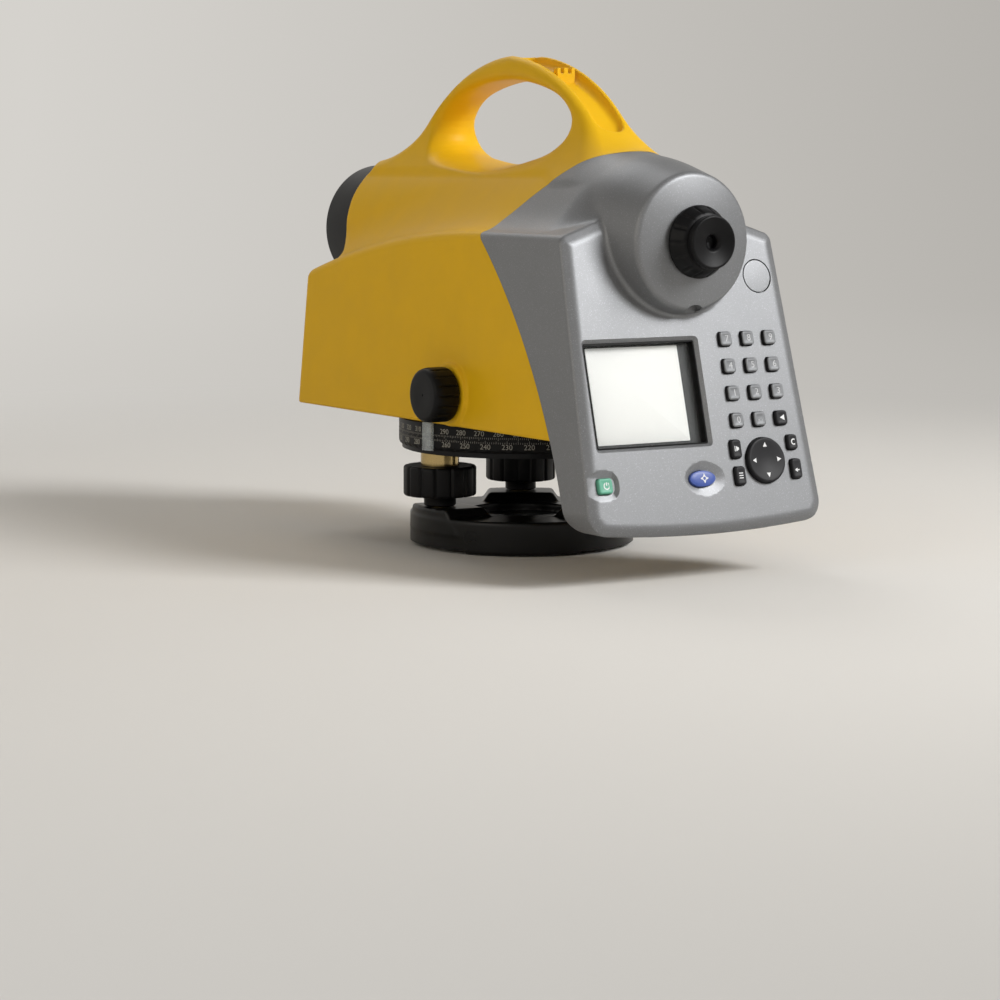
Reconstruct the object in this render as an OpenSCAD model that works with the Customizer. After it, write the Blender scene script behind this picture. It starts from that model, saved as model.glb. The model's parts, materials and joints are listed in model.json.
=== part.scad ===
// Digital level on a three-screw base: moulded housing with a looped carrying handle,
// sloping key panel at the rear, telescope across the top and a graduated circle below.
// Millimetres, +Z up, origin at the centre of the base underside. The keys face -Y.

/* [Overall] */
// Height of the handle crest above the base underside
total_height = 235; // [233:0.5:237]
// Height of the telescope axis
axis_height = 150; // [149.5:0.25:150.5]
// Front end of the sunshade
sunshade_front = 137.8; // [137:0.2:139]

/* [Base] */
// Radius of the base plate
base_r = 54.6; // [54:0.2:56]
// Thickness of the base plate
base_thick = 16; // [15:0.5:17]
// Distance of the foot screws from the rim of the base
foot_inset = 8.7; // [8.3:0.1:9.1]
// Radius of a foot knob
foot_knob_r = 17.5; // [16.5:0.25:18]
// Height of a foot knob
foot_knob_h = 14.5; // [13:0.5:15]
// Radius of the brass stem above a foot knob
stem_r = 9.2; // [8.6:0.1:9.4]
// Major radius of the tripod thread
thread_r = 7.94; // [7.9:0.01:8]
// How far the graduated circle stands out past the base
circle_over = 5.4; // [5:0.1:5.6]
// Wall of the graduated circle
circle_wall = 2.8; // [2.6:0.1:3]

/* [Housing] */
// Half width of the housing at its bottom edge
body_half = 62.5; // [62:0.1:63]
// How far each side wall leans in up to the shoulder
shoulder_in = 4.2; // [4:0.1:4.5]
// Slope of the shoulders
shoulder_slope = 18; // [16:0.5:20]
// Slope of the key panel from upright
panel_tilt = 15.1; // [14.6:0.1:15.6]
// Barrel radius at the parting with the rear shell
barrel_rear_r = 39.2; // [39:0.05:39.4]
// Barrel radius at the front edge
barrel_front_r = 34.2; // [34:0.05:34.6]
// Radius of the eyepiece turret face
turret_r = 30.3; // [29.8:0.1:30.8]
// Wall of the shells
wall = 3; // [2.8:0.1:3.2]

/* [Handle] */
// Width of the handle grip
handle_w = 24.6; // [23:0.2:26]
// Thickness of the grip at the crest
grip_thick = 11.9; // [11:0.1:12.5]
// Depth of the sighting channel
channel_depth = 5.5; // [4.5:0.25:6]
// Width of the sighting channel
channel_w = 15; // [13:0.5:16]

/* [Telescope] */
// Outer radius of the sunshade
sunshade_r = 32.4; // [32.2:0.05:32.5]
// Free radius of the objective
objective_r = 20; // [19:0.25:20.5]
// Outer radius of the telescope tube
tube_r = 26.5; // [26.2:0.1:26.8]
// Inner radius of the telescope tube
tube_bore_r = 24; // [23.5:0.1:24.2]
// Pitch radius of the focusing pinion
pinion_r = 5; // [4.9:0.05:5.1]
// Radius of the focusing knob
focus_knob_r = 17; // [15:0.5:18]
// Radius of the dioptre ring at its foot
dioptre_r = 16.7; // [16:0.1:17.2]
// How far the eyepiece stands out of the turret
eyepiece_out = 13; // [12.5:0.1:13.5]

/* [Keys and screen] */
// Width of a number key
key_w = 6.5; // [6.2:0.1:7]
// Spacing of the number keys
key_pitch = 12.42; // [12.3:0.02:12.5]
// How far a key stands above the panel
key_proud = 2; // [1.6:0.1:2.2]
// Radius of the four-way key
arrows_r = 10.4; // [10:0.1:10.6]
// Width of the screen window
screen_w = 59.9; // [58:0.1:60]
// Height of the screen window
screen_h = 46.9; // [46:0.1:47]
// Depth of the screen below the panel
screen_depth = 5.5; // [5:0.1:5.8]

/* [Side controls] */
// Radius of a tangent knob
tangent_knob_r = 12.8; // [12:0.2:13.4]
// Outer face of the side knobs from the mid plane
knob_face_x = 77.5; // [76.5:0.25:78]
// Radius of the trigger button
trigger_r = 6.5; // [6:0.1:7]
// Length of the battery pack
battery_len = 56; // [52:1:58]

/* [Fits] */
// Radial clearance of a running fit
run_fit = 0.04; // [0.02:0.01:0.08]
// Radial clearance of a fixed seat
seat_fit = 0.02; // [0.01:0.01:0.04]
// Gap around a key in its hole
key_gap = 0.3; // [0.25:0.05:0.35]

/* [Hidden] */
$fn = 72;

// Colours of the outside pieces
yellow = [0.90, 0.66, 0.10];
grey = [0.58, 0.59, 0.60];
black = [0.06, 0.06, 0.07];
charcoal = [0.16, 0.16, 0.17];
brass = [0.72, 0.55, 0.25];
metal = [0.66, 0.67, 0.68];
clear = [0.80, 0.88, 0.90];
board_green = [0.10, 0.30, 0.18];
key_grey = [0.42, 0.43, 0.45];

// Heights of the base stack
foot_circle_r = base_r - foot_inset;
circle_r = base_r + circle_over;
boss_top = base_thick + 4.2;
pad_relief = 1.5;
spring_low = 1.6;
spring_thick = 2.5;
spring_top = spring_low + spring_thick;
foot_pin_r = 6;
foot_neck_r = 4.5;
knob_low = 25.5;
knob_top = knob_low + foot_knob_h;
stem_top = 54;
head_low = 46.5;
head_top = 60.5;
head_r = circle_r - circle_wall;
head_flange_r = circle_r - 1.5;
ring_seat = 49;
ring_low = 48;
ring_top = 61.9;
foot_angles = [177.7, 57.7, -62.3];
bush_r = 14;
seat_half = 16;
bush_top = base_thick - 4;
well_r = foot_circle_r - 20.9;

// Vertical axis and slow motion
spindle_r = 11;
spindle_top = 94;
body_low = 62.5;
cover_thick = 3;
cover_top = body_low + cover_thick;
worm_y = -34;
worm_z = 77.4;
worm_pitch_r = 4.4;
wheel_teeth = 72;
wheel_pitch_r = -worm_y - worm_pitch_r;
worm_lead = 2 * PI * wheel_pitch_r / wheel_teeth;
worm_turns = 5;
wheel_half = 4;
shaft_r = 3;
tangent_boss_x = body_half + 1.1;
tangent_knob_x = tangent_boss_x + 0.6;
focus_boss_x = body_half - 0.3;
focus_knob_x = focus_boss_x + 0.4;
shaft_end_x = knob_face_x - 5.5;

// Section of the shells: drafted walls and a sloped shoulder
shoulder_z = axis_height + 2;
shoulder_half = body_half - shoulder_in;
draft = (body_half - shoulder_half) / (shoulder_z - body_low);
panel_low = 20.8;
panel_corner_r = 9.5;
panel_ref_y = -134.42;
panel_ref_z = 100;
panel_chamfer = 3;
turret_face_y = -140.8;
turret_foot_y = -105;
barrel_ref_y = -95;
barrel_end_y = 137;
cavity_half = shoulder_half - wall + 0.7;
cavity_front = 98;
cover_half = body_half - 4.2;
cover_rear = -95.8;
cover_front = cavity_front + 2.8;
cover_fit = 0.2;
cavity_top = axis_height - 22;
loft_top = axis_height - 7;
trigger_z = axis_height - 38;
battery_top = axis_height - 42;
battery_front = 94;
bore_r = 31;
front_bore_y = 86;
front_lean = 4.4;
front_y = 115.4;
front_corner_r = 4;
shoulder_fall = 22;
fall_start = -53;
fall_end = 106;

// Side-view curves (y, z), each an arc through three points
parting = concat(
    arc3([-140.2, panel_low], [-133.2, 24], [-128.6, 29.5], 4),
    arc3([-128.6, 29.5], [-103, 85], [-55, shoulder_z], 10),
    arc3([-55, shoulder_z], [-67, axis_height + 23.4], [-96, axis_height + 39.6], 8),
    [[-96, axis_height + 50]]);
visor = [for (p = [[110, -38], [112.3, -15], [112.6, 12], [113.6, 24], [116.4, 31.5], [119.5, 38]])
    [p[0], axis_height + p[1]]];
crest_z = total_height;
barrel_top = axis_height + barrel_rear_r;
eye_top = crest_z - grip_thick;
crest_rear = arc3([-3, crest_z], [-44, on_arch(0.751)], [-74, on_arch(0.28)], 10);
arch = concat(
    [[112, on_arch(-0.245)]],
    arc3([109, on_arch(-0.092)], [92, on_arch(0.009)], [75.5, on_arch(0.249)], 6),
    arc3([75.5, on_arch(0.249)], [46, on_arch(0.716)], [-3, crest_z], 10),
    crest_rear,
    arc3([-74, on_arch(0.28)], [-83, on_arch(0.131)], [-98, on_arch(-0.004)], 5),
    [[-98, on_arch(-0.245)]]);
eye = concat(
    arc3([-40, on_eye(0.808)], [0, eye_top], [43, on_eye(0.808)], 8),
    arc3([43, on_eye(0.808)], [57, on_eye(0.549)], [62.8, on_eye(0.307)], 5),
    arc3([62.8, on_eye(0.307)], [58, on_eye(0.097)], [44, on_eye(-0.153)], 5),
    arc3([-44, on_eye(-0.153)], [-56.5, on_eye(0.097)], [-60.5, on_eye(0.33)], 5),
    arc3([-60.5, on_eye(0.33)], [-53, on_eye(0.596)], [-40, on_eye(0.808)], 5));

// Panel layout: u across, v up the slope
key_row = 105.9;
screen_u = 38 - body_half;
screen_v = 83;
frame_wall = 1.2;
key_mid = (screen_u + screen_w / 2 + frame_wall + wall_x(screen_v)) / 2 - 0.15;
key_col = key_mid - key_pitch;
arrows_uv = [key_mid + 0.3, 49.8];
power_uv = [8.7 - body_half, 43.4];
power_size = [7.4, 6.9];
measure_uv = [-1.4, 43.6];
measure_size = [14.2, 7.3];
level_uv = [shoulder_half - 12.7, panel_ref_z + (shoulder_z - panel_ref_z) / cos(panel_tilt) - 19.3];
vial_x = shoulder_half - 11.3;
vial_y = -88;
vial_r = 9;
vial_low = shoulder_z - 12;
cover_r = 7.6;
key_flange = 0.5;
key_floor = wall;
board_depth = 9.8;
board_thick = 1.6;
post_u = body_half - 14.5;
display_thick = board_depth - screen_depth;

// Telescope stations along Y
cell_seat_y = 92;
tube_rear_y = -30;
focus_y = 20;
trigger_y = -12;
focus_z = axis_height - tube_r - 2 - pinion_r;
rack_pitch_z = focus_z + pinion_r;
pinion_teeth = 20;
rack_pitch = 2 * PI * pinion_r / pinion_teeth;
cell_len = 30;
turret_bore_r = 12.04;
ocular_r = 9.5;
cap_y = turret_face_y - eyepiece_out;
sleeve_end_y = turret_face_y + 13.8;
reticle_y = turret_face_y + 30.8;
pivot_y = -54;
pivot_z = axis_height + 18;

// Heights in the handle: 0 at the top of the barrel, 1 at the crest or at the top of the eye
function on_arch(t) = barrel_top + t * (crest_z - barrel_top);
function on_eye(t) = barrel_top + t * (eye_top - barrel_top);
function wall_x(z) = shoulder_half + (shoulder_z - z) * draft;
function panel_y(z, inset) = panel_ref_y + (z - panel_ref_z) * tan(panel_tilt) + inset / cos(panel_tilt);
function barrel_r(y) = barrel_rear_r
    + (barrel_front_r - barrel_rear_r) * (y - barrel_ref_y) / (barrel_end_y - barrel_ref_y);
function arc_points(c, r, a0, a1, n) = [for (i = [0:n]) let (a = a0 + (a1 - a0) * i / n) c + r * [cos(a), sin(a)]];
function rounded(w, h, r) = concat(
    arc_points([w / 2 - r, h / 2 - r], r, 0, 90, 4),
    arc_points([r - w / 2, h / 2 - r], r, 90, 180, 4),
    arc_points([r - w / 2, r - h / 2], r, 180, 270, 4),
    arc_points([w / 2 - r, r - h / 2], r, 270, 360, 4));
function centre3(a, b, c) = let (d = 2 * (a.x * (b.y - c.y) + b.x * (c.y - a.y) + c.x * (a.y - b.y)))
    [(a * a) * (b.y - c.y) + (b * b) * (c.y - a.y) + (c * c) * (a.y - b.y),
     (a * a) * (c.x - b.x) + (b * b) * (a.x - c.x) + (c * c) * (b.x - a.x)] / d;
function turn(o, p, q) = (atan2(q.y - o.y, q.x - o.x) - atan2(p.y - o.y, p.x - o.x) + 720) % 360;
function arc3(a, b, c, n) = let (o = centre3(a, b, c), t = turn(o, a, c), s = turn(o, a, b) < t ? t : t - 360,
    a0 = atan2(a.y - o.y, a.x - o.x))
    [for (i = [0:n]) i == 0 ? a : i == n ? c : o + norm(a - o) * [cos(a0 + s * i / n), sin(a0 + s * i / n)]];
function shoulder_line(y) = shoulder_z
    - shoulder_fall * pow(max(0, y - fall_start) / (fall_end - fall_start), 2);
function mirrored(pts) = concat(pts, [for (i = [len(pts) - 1:-1:0]) [-pts[i][0], pts[i][1]]]);
function gear_points(n, rp, add, ded, w_tip, w_root) = [for (i = [0:n - 1]) let (a = 360 * i / n)
    each [for (p = [[rp - ded, -w_root], [rp + add, -w_tip], [rp + add, w_tip], [rp - ded, w_root]])
        [p[0] * cos(a) - p[1] * sin(a), p[0] * sin(a) + p[1] * cos(a)]]];

module xprism(pts, x0, x1) {
    translate([x0, 0, 0]) rotate([90, 0, 90]) linear_extrude(x1 - x0) polygon(pts);
}

module yprism(pts, y0, y1) {
    translate([0, y1, 0]) rotate([90, 0, 0]) linear_extrude(y1 - y0) polygon(pts);
}

module ycone(r0, r1, y0, y1) {
    translate([0, y0, axis_height]) rotate([-90, 0, 0]) cylinder(r1 = r0, r2 = r1, h = y1 - y0);
}

module ylathe(pts) {
    translate([0, 0, axis_height]) rotate([-90, 0, 0]) rotate_extrude() polygon(pts);
}

module xcyl(r, x0, x1, y, z) {
    translate([x0, y, z]) rotate([0, 90, 0]) cylinder(r = r, h = x1 - x0);
}

module zcyl(r, z0, z1) {
    translate([0, 0, z0]) cylinder(r = r, h = z1 - z0);
}

module at_foot(i) {
    rotate([0, 0, foot_angles[i]]) translate([foot_circle_r, 0, 0]) children();
}

// Panel frame: x across, y up the slope from the panel reference, z out of the panel
module on_panel(u, v) {
    translate([0, panel_ref_y, panel_ref_z]) rotate([90 - panel_tilt, 0, 0])
        translate([u, v - panel_ref_z, 0]) children();
}

module box(low, high) {
    translate(low) cube(high - low);
}

module grip_profile(r, n, notch) {
    difference() {
        circle(r = r);
        for (i = [0:n - 1]) rotate(360 * i / n) translate([r + notch * 0.55, 0]) circle(r = notch, $fn = 16);
    }
}

// Base plate with three seats, relieved underneath except for three pads
module spring_outline(extra) {
    circle(r = 24 + extra);
    for (a = foot_angles) rotate(a) translate([0, -8 - extra]) square([foot_circle_r + 6.5 + extra, 16 + 2 * extra]);
}

module base_plate() {
    color(black) difference() {
        intersection() {
            union() {
                zcyl(base_r, 0, base_thick);
                for (a = foot_angles) rotate([0, 0, a]) intersection() {
                    xprism(mirrored([[seat_half + 3.3, base_thick - 0.5], [seat_half, boss_top]]), 0, base_r + 5);
                    yprism([[foot_circle_r - 18.3, base_thick - 0.5], [base_r + 5, base_thick - 0.5],
                        [base_r + 5, boss_top], [foot_circle_r - 15.3, boss_top]], -30, 30);
                }
            }
            rotate_extrude() polygon([[0, 0], [base_r - 1, 0], [base_r, 1], [base_r, boss_top - 1.5],
                [base_r - 1.5, boss_top], [0, boss_top]]);
        }
        for (a = foot_angles) rotate([0, 0, a]) linear_extrude(2 * pad_relief, center = true)
            polygon([[20, -20 * tan(30)], [base_r * 1.3, -base_r * 1.3 * tan(30)],
                [base_r * 1.3, base_r * 1.3 * tan(30)], [20, 20 * tan(30)]]);
        translate([0, 0, -1]) linear_extrude(spring_top + 1) spring_outline(0.3);
        zcyl(bush_r + seat_fit, -1, base_thick + 1);
        zcyl(well_r, bush_top, base_thick + 1);
        for (i = [0:2]) at_foot(i) zcyl(foot_pin_r + run_fit, spring_top - 1, boss_top + 1);
    }
}

module spring_plate() {
    color(metal) translate([0, 0, spring_low]) linear_extrude(spring_thick) difference() {
        spring_outline(0);
        circle(r = bush_r + seat_fit);
    }
}

module thread_bush() {
    color(metal) difference() {
        zcyl(bush_r, 0.2, bush_top);
        zcyl(thread_r, -1, base_thick + 1);
    }
}

// Foot screw: pin in the base, neck through the knob, brass stem into the head
module foot_screw(i) {
    color(brass) at_foot(i) rotate_extrude() polygon([[0, spring_top], [foot_pin_r, spring_top],
        [foot_pin_r, 18], [foot_neck_r, 18.5], [foot_neck_r, knob_top], [stem_r, knob_top],
        [stem_r, stem_top - 1], [stem_r - 1, stem_top], [0, stem_top]]);
}

module foot_knob(i) {
    color(black) at_foot(i) difference() {
        intersection() {
            union() {
                translate([0, 0, knob_low]) linear_extrude(foot_knob_h) grip_profile(foot_knob_r, 14, 1.6);
                zcyl(7.7, boss_top + 0.25, knob_low + 1);
            }
            rotate_extrude() polygon([[0, boss_top], [9, boss_top], [9, knob_low], [foot_knob_r - 1.5, knob_low],
                [foot_knob_r, knob_low + 1.5], [foot_knob_r, knob_top - 1.5], [foot_knob_r - 1.5, knob_top],
                [0, knob_top]]);
        }
        zcyl(foot_neck_r + seat_fit, boss_top - 1, knob_top + 1);
    }
}

module foot_screw_left() { foot_screw(0); }

module foot_screw_front() { foot_screw(1); }

module foot_screw_rear() { foot_screw(2); }

module foot_knob_left() { foot_knob(0); }

module foot_knob_front() { foot_knob(1); }

module foot_knob_rear() { foot_knob(2); }

module tribrach_head() {
    color(charcoal) difference() {
        union() {
            zcyl(head_r, head_low, head_top);
            zcyl(head_flange_r, head_low + 0.5, ring_seat);
        }
        zcyl(spindle_r + seat_fit, head_low - 1, head_top + 1);
        for (i = [0:2]) at_foot(i) zcyl(stem_r + run_fit, head_low - 1, 58);
    }
}

module axis_spindle() {
    color(metal) rotate_extrude() polygon([[0, head_low + 1], [spindle_r, head_low + 1], [spindle_r, head_top],
        [17, head_top], [17, head_top + 1.2], [spindle_r, head_top + 1.2], [spindle_r, spindle_top - 1],
        [spindle_r - 1, spindle_top], [0, spindle_top]]);
}

// Graduated circle riding on the flange of the head
module circle_ring() {
    color(black) rotate_extrude() polygon([[head_r + run_fit, ring_seat], [head_flange_r + 0.3, ring_seat],
        [head_flange_r + 0.3, ring_low + 1.2], [circle_r - 0.6, ring_low + 1], [circle_r - 0.2, ring_low + 1.6],
        [circle_r, ring_low + 2.6], [circle_r, ring_top - 0.6], [circle_r - 0.6, ring_top],
        [head_r + run_fit, ring_top]]);
}

module clutch_wheel() {
    color(brass) difference() {
        translate([0, 0, worm_z - wheel_half]) linear_extrude(2 * wheel_half)
            polygon(gear_points(wheel_teeth, wheel_pitch_r, 0.5, 0.9, 0.32, 0.5));
        zcyl(spindle_r + run_fit, worm_z - wheel_half - 1, worm_z + wheel_half + 1);
        for (a = [30:60:330]) rotate([0, 0, a]) translate([19.5, 0, 0])
            zcyl(4.5, worm_z - wheel_half - 1, worm_z + wheel_half + 1);
    }
}

// Section seen along Y: inset shrinks it evenly
function section(inset, low, corner) = mirrored(concat(
    [[12, low + inset], [32, low + inset + 0.8]],
    arc_points([wall_x(low) - corner - inset, low + inset + corner + 2.2], corner, -80, -2, 6),
    [[wall_x(shoulder_z) - inset, shoulder_z - inset * 0.4],
     [20, shoulder_z - inset + (shoulder_half - 20) * tan(shoulder_slope)]]));

// Roof that follows the falling shoulder line; one for each side
module roof(side) {
    s = sin(shoulder_slope);
    c = cos(shoulder_slope);
    line = [for (y = [fall_start:30:fall_start + 180]) [y, shoulder_half * s + shoulder_line(y) * c]];
    rotate([0, side * shoulder_slope, 0])
        xprism(concat([[-170, line[0][1]]], line, [[fall_start + 180, -60], [-170, -60]]), -260, 260);
}

module lower_body() {
    intersection() {
        yprism(mirrored([[body_half - 0.8, body_low], [body_half, body_low + 0.8],
            [wall_x(shoulder_z + 13), shoulder_z + 13]]), -130, 130);
        roof(1);
        roof(-1);
        translate([0, front_y, body_low]) rotate([front_lean, 0, 0]) translate([0, 0, -20])
            linear_extrude(axis_height - 10) polygon(concat([[-80, -240], [80, -240], [80, -front_corner_r]],
                arc_points([body_half - front_corner_r - 1.4, -front_corner_r], front_corner_r, 8, 90, 5),
                arc_points([front_corner_r + 1.4 - body_half, -front_corner_r], front_corner_r, 90, 172, 5),
                [[-80, -front_corner_r]]));
    }
}

module handle() {
    flare = arc_points([handle_w / 2 + 26, barrel_top + 8.8], 26, 180, 226, 5);
    difference() {
        intersection() {
            xprism(arch, -40, 40);
            yprism(mirrored(concat([[28, axis_height + 10], [25, axis_height + 22]], [for (i = [5:-1:0]) flare[i]],
                [[handle_w / 2, total_height - 6], [handle_w / 2 - 3, total_height + 3]])), -110, 120);
        }
        xprism(eye, -50, 50);
        difference() {
            xprism(concat([for (p = concat(crest_rear, [[-82, on_arch(0.192)]]))
                [p[0] + (p[0] == -3 ? 6 : 0), p[1] - channel_depth]], [[-83, crest_z + 5], [3, crest_z + 5]]),
                -channel_w / 2, channel_w / 2);
            difference() {
                box([-5, -44, crest_z - 30], [5, -37, crest_z - 6.4]);
                for (s = [-1, 1]) box([s * 2.1 - 0.9, -46, crest_z - 9.4], [s * 2.1 + 0.9, -35, crest_z]);
            }
        }
    }
}

module front_region() {
    xprism(concat(parting, [[-96, total_height + 25], [150, total_height + 25], [150, 0], [-140.2, 0]]), -90, 90);
}

module visor_region() {
    xprism(concat(visor, [[119.5, total_height + 25], [-130, total_height + 25], [-130, axis_height - 50],
        [110, axis_height - 50]]), -90, 90);
}

// Main shell: body, barrel and looped handle in one moulding
module main_housing() {
    color(yellow) difference() {
        intersection() {
            union() {
                lower_body();
                intersection() {
                    union() {
                        ycone(barrel_r(-110), barrel_r(139), -110, 139);
                        handle();
                    }
                    visor_region();
                }
                for (s = [-1, 1]) translate([0, worm_y, worm_z]) rotate([0, 90 * s, 0])
                    zcyl(tangent_knob_r + 1.8, 50, tangent_boss_x);
                xcyl(focus_knob_r + 1.5, 50, focus_boss_x, focus_y, focus_z);
            }
            front_region();
        }
        box([-cavity_half, -140, cover_top], [cavity_half, cavity_front, cavity_top]);
        box([-cavity_half + 2.5, -140, cavity_top - 1], [cavity_half - 2.5, 0, loft_top]);
        box([-cover_half - cover_fit, cover_rear - cover_fit, body_low - 1],
            [cover_half + cover_fit, cover_front + cover_fit, cover_top]);
        ycone(bore_r, bore_r, -120, 140);
        ycone(sunshade_r + seat_fit, sunshade_r + seat_fit, front_bore_y, 145);
        xcyl(shaft_r + run_fit, -80, 80, worm_y, worm_z);
        xcyl(shaft_r + run_fit, 40, 80, focus_y, focus_z);
        xcyl(trigger_r + run_fit, 40, 80, trigger_y, trigger_z);
        box([40, battery_front - battery_len - cover_fit, cover_top],
            [80, battery_front + cover_fit, battery_top + cover_fit]);
    }
    color(yellow) difference() {
        for (p = screw_places) translate([p[0], p[1], 0]) zcyl(4.5, cover_top, 80);
        for (p = screw_places) translate([p[0], p[1], 0]) zcyl(1.5 + seat_fit, cover_top - 1, 76.2);
    }
}

screw_x = cover_half - 5.5;
screw_places = [[-screw_x, 88], [-screw_x, -70], [screw_x, 24], [screw_x, -70]];

module bottom_cover() {
    color(charcoal) difference() {
        union() {
            box([-cover_half, cover_rear, body_low], [cover_half, cover_front, cover_top]);
            zcyl(17, body_low, worm_z - wheel_half - 0.2);
        }
        zcyl(spindle_r + run_fit, body_low - 1, 90);
        for (p = screw_places) translate([p[0], p[1], 0]) {
            zcyl(1.5 + seat_fit, body_low - 1, cover_top + 1);
            zcyl(3 + seat_fit, body_low - 1, body_low + 1.6);
        }
    }
}

module housing_screws() {
    color(metal) for (p = screw_places) translate([p[0], p[1], 0]) difference() {
        union() {
            zcyl(3, body_low, body_low + 1.6);
            zcyl(1.5, body_low + 1, 76);
        }
        translate([0, 0, body_low - 1]) cylinder(r = 1.2, h = 1.9, $fn = 6);
    }
}

// Rear shell with the key panel and the eyepiece turret
module rear_region(low) {
    xprism(concat([[-190, low]], [[-140.2, low]], parting, [[-96, total_height], [-190, total_height]]), -90, 90);
}

module panel_side_cut(side) {
    on_panel(side * wall_x(panel_ref_z), panel_ref_z)
        rotate([0, 0, side * atan(draft * cos(panel_tilt))]) rotate([0, 45, 0])
            translate([side > 0 ? 0 : -30, -110, side > 0 ? -panel_chamfer * 0.7071 : -panel_chamfer * 0.7071])
                cube([30, 220, 30]);
}

module rear_outer() {
    intersection() {
        union() {
            intersection() {
                yprism(section(0, panel_low, panel_corner_r), -165, -40);
                xprism([[panel_y(panel_low + 2, 0) + 2, panel_low], [panel_y(panel_low + 2, 0), panel_low + 2],
                    [panel_y(shoulder_z + 23, 0), shoulder_z + 23], [-40, shoulder_z + 23],
                    [-40, panel_low]], -90, 90);
            }
            ycone(barrel_r(turret_foot_y), barrel_r(-50), turret_foot_y, -50);
            ylathe([[0, turret_face_y - 0.8], [turret_r - 6, turret_face_y - 0.4], [turret_r - 1.5, turret_face_y + 0.4],
                [turret_r, turret_face_y + 2], [barrel_r(turret_foot_y), turret_foot_y], [0, turret_foot_y]]);
        }
        rear_region(panel_low);
    }
}

module rear_inner() {
    intersection() {
        yprism(section(wall, panel_low, panel_corner_r - wall), -165, -40);
        xprism([[panel_y(panel_low + wall, wall) + 1, panel_low + wall], [panel_y(panel_low + 6, wall), panel_low + 6],
            [panel_y(shoulder_z - 2, wall), shoulder_z - 2], [-40, shoulder_z - 2], [-40, 72], [-113.6, 72],
            [-116.8, body_low],
            [-127.6, 39.2], [-131.8, 30.4], [-138.2, panel_low + wall + 1.4]], -90, 90);
    }
    ycone(barrel_r(turret_foot_y) - 8, bore_r, -124, -40);
}

module rear_housing() {
    color(grey) difference() {
        union() {
            difference() {
                rear_outer();
                rear_inner();
            }
            ycone(turret_bore_r + 4.5, turret_bore_r + 4.5, turret_face_y + 1, reticle_y + 12);
            intersection() {
                translate([vial_x, vial_y, 0]) zcyl(vial_r + 2.5, vial_low - 3, shoulder_z + 8);
                yprism(section(0.5, panel_low, panel_corner_r), -165, -40);
            }
        }
        ycone(turret_bore_r, turret_bore_r, turret_face_y - 9, reticle_y + 20);
        translate([vial_x, vial_y, 0]) zcyl(vial_r + seat_fit, vial_low, shoulder_z + 18);
        on_panel(screen_u, screen_v) translate([-screen_w / 2 - frame_wall, -screen_h / 2 - frame_wall, -8])
            cube([screen_w + 2 * frame_wall, screen_h + 2 * frame_wall, 20]);
        for (i = [0:2]) for (j = [0:3])
            on_panel(key_col + i * key_pitch, key_row - j * key_pitch) key_hole(key_w, key_w);
        for (k = side_keys) on_panel(k[0], k[1]) key_hole(k[2], k[3]);
        on_panel(arrows_uv[0], arrows_uv[1]) translate([0, 0, -8]) cylinder(r = arrows_r + key_gap, h = 20);
        on_panel(power_uv[0], power_uv[1]) {
            key_hole(power_size[0], power_size[1]);
            translate([-20, -5.3, -1.4]) cube([26.2, 10.6, 10]);
        }
        on_panel(measure_uv[0], measure_uv[1]) {
            translate([0, 0, -8]) linear_extrude(20)
                polygon(rounded(measure_size[0] + 2 * key_gap, measure_size[1] + 2 * key_gap, 3.6));
            translate([1.3, -0.1, -1.2]) linear_extrude(20) scale([1.48, 1]) circle(r = 6.7);
        }
        on_panel(level_uv[0], level_uv[1]) translate([0, 0, -1.8]) cylinder(r = cover_r + seat_fit, h = 10);
        panel_side_cut(1);
        panel_side_cut(-1);
    }
}

side_keys = [for (k = [[-15.8, 55.7, 8.4], [-15.5, 43.5, 8.4], [16.3, 57.2, 6.8], [16.6, 45, 9]])
    [arrows_uv[0] + k[0], k[1], 5.4, k[2]]];

module key_hole(w, h) {
    translate([0, 0, -8]) linear_extrude(20) polygon(rounded(w + 2 * key_gap, h + 2 * key_gap, 1.3));
}

// Key cap with a retaining flange under the panel and a post to the switch
module key(w, h, r, drop) {
    translate([0, 0, -key_floor - 0.9]) linear_extrude(key_floor + 0.9 + key_proud - drop) polygon(rounded(w, h, r));
    translate([0, 0, -key_floor - 1]) linear_extrude(1)
        polygon(rounded(w + 2 * key_flange, h + 2 * key_flange, r));
    translate([0, 0, 1.5 - board_depth]) cylinder(r = 1.6, h = 5);
}

module number_key(i, j, tone = key_grey) {
    color(tone) on_panel(key_col + i * key_pitch, key_row - j * key_pitch) key(key_w, key_w, 1, 0);
}

module side_key(n) {
    color(charcoal) on_panel(side_keys[n][0], side_keys[n][1]) key(side_keys[n][2], side_keys[n][3], 1, 0);
}

module key_7() { number_key(0, 0); }

module key_8() { number_key(1, 0); }

module key_9() { number_key(2, 0); }

module key_4() { number_key(0, 1); }

module key_5() { number_key(1, 1); }

module key_6() { number_key(2, 1); }

module key_1() { number_key(0, 2); }

module key_2() { number_key(1, 2); }

module key_3() { number_key(2, 2); }

module key_0() { number_key(0, 3); }

module key_point() { number_key(1, 3); }

module key_back() { number_key(2, 3, charcoal); }

module key_star() { side_key(0); }

module key_func() { side_key(1); }

module key_alpha() { side_key(2); }

module key_enter() { side_key(3); }

module key_power() {
    color([0.25, 0.60, 0.48]) on_panel(power_uv[0], power_uv[1]) key(power_size[0], power_size[1], 1, key_proud - 0.2);
}

module key_measure() {
    color([0.14, 0.22, 0.60]) on_panel(measure_uv[0], measure_uv[1])
        key(measure_size[0], measure_size[1], 3.3, key_proud - 0.5);
}

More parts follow.
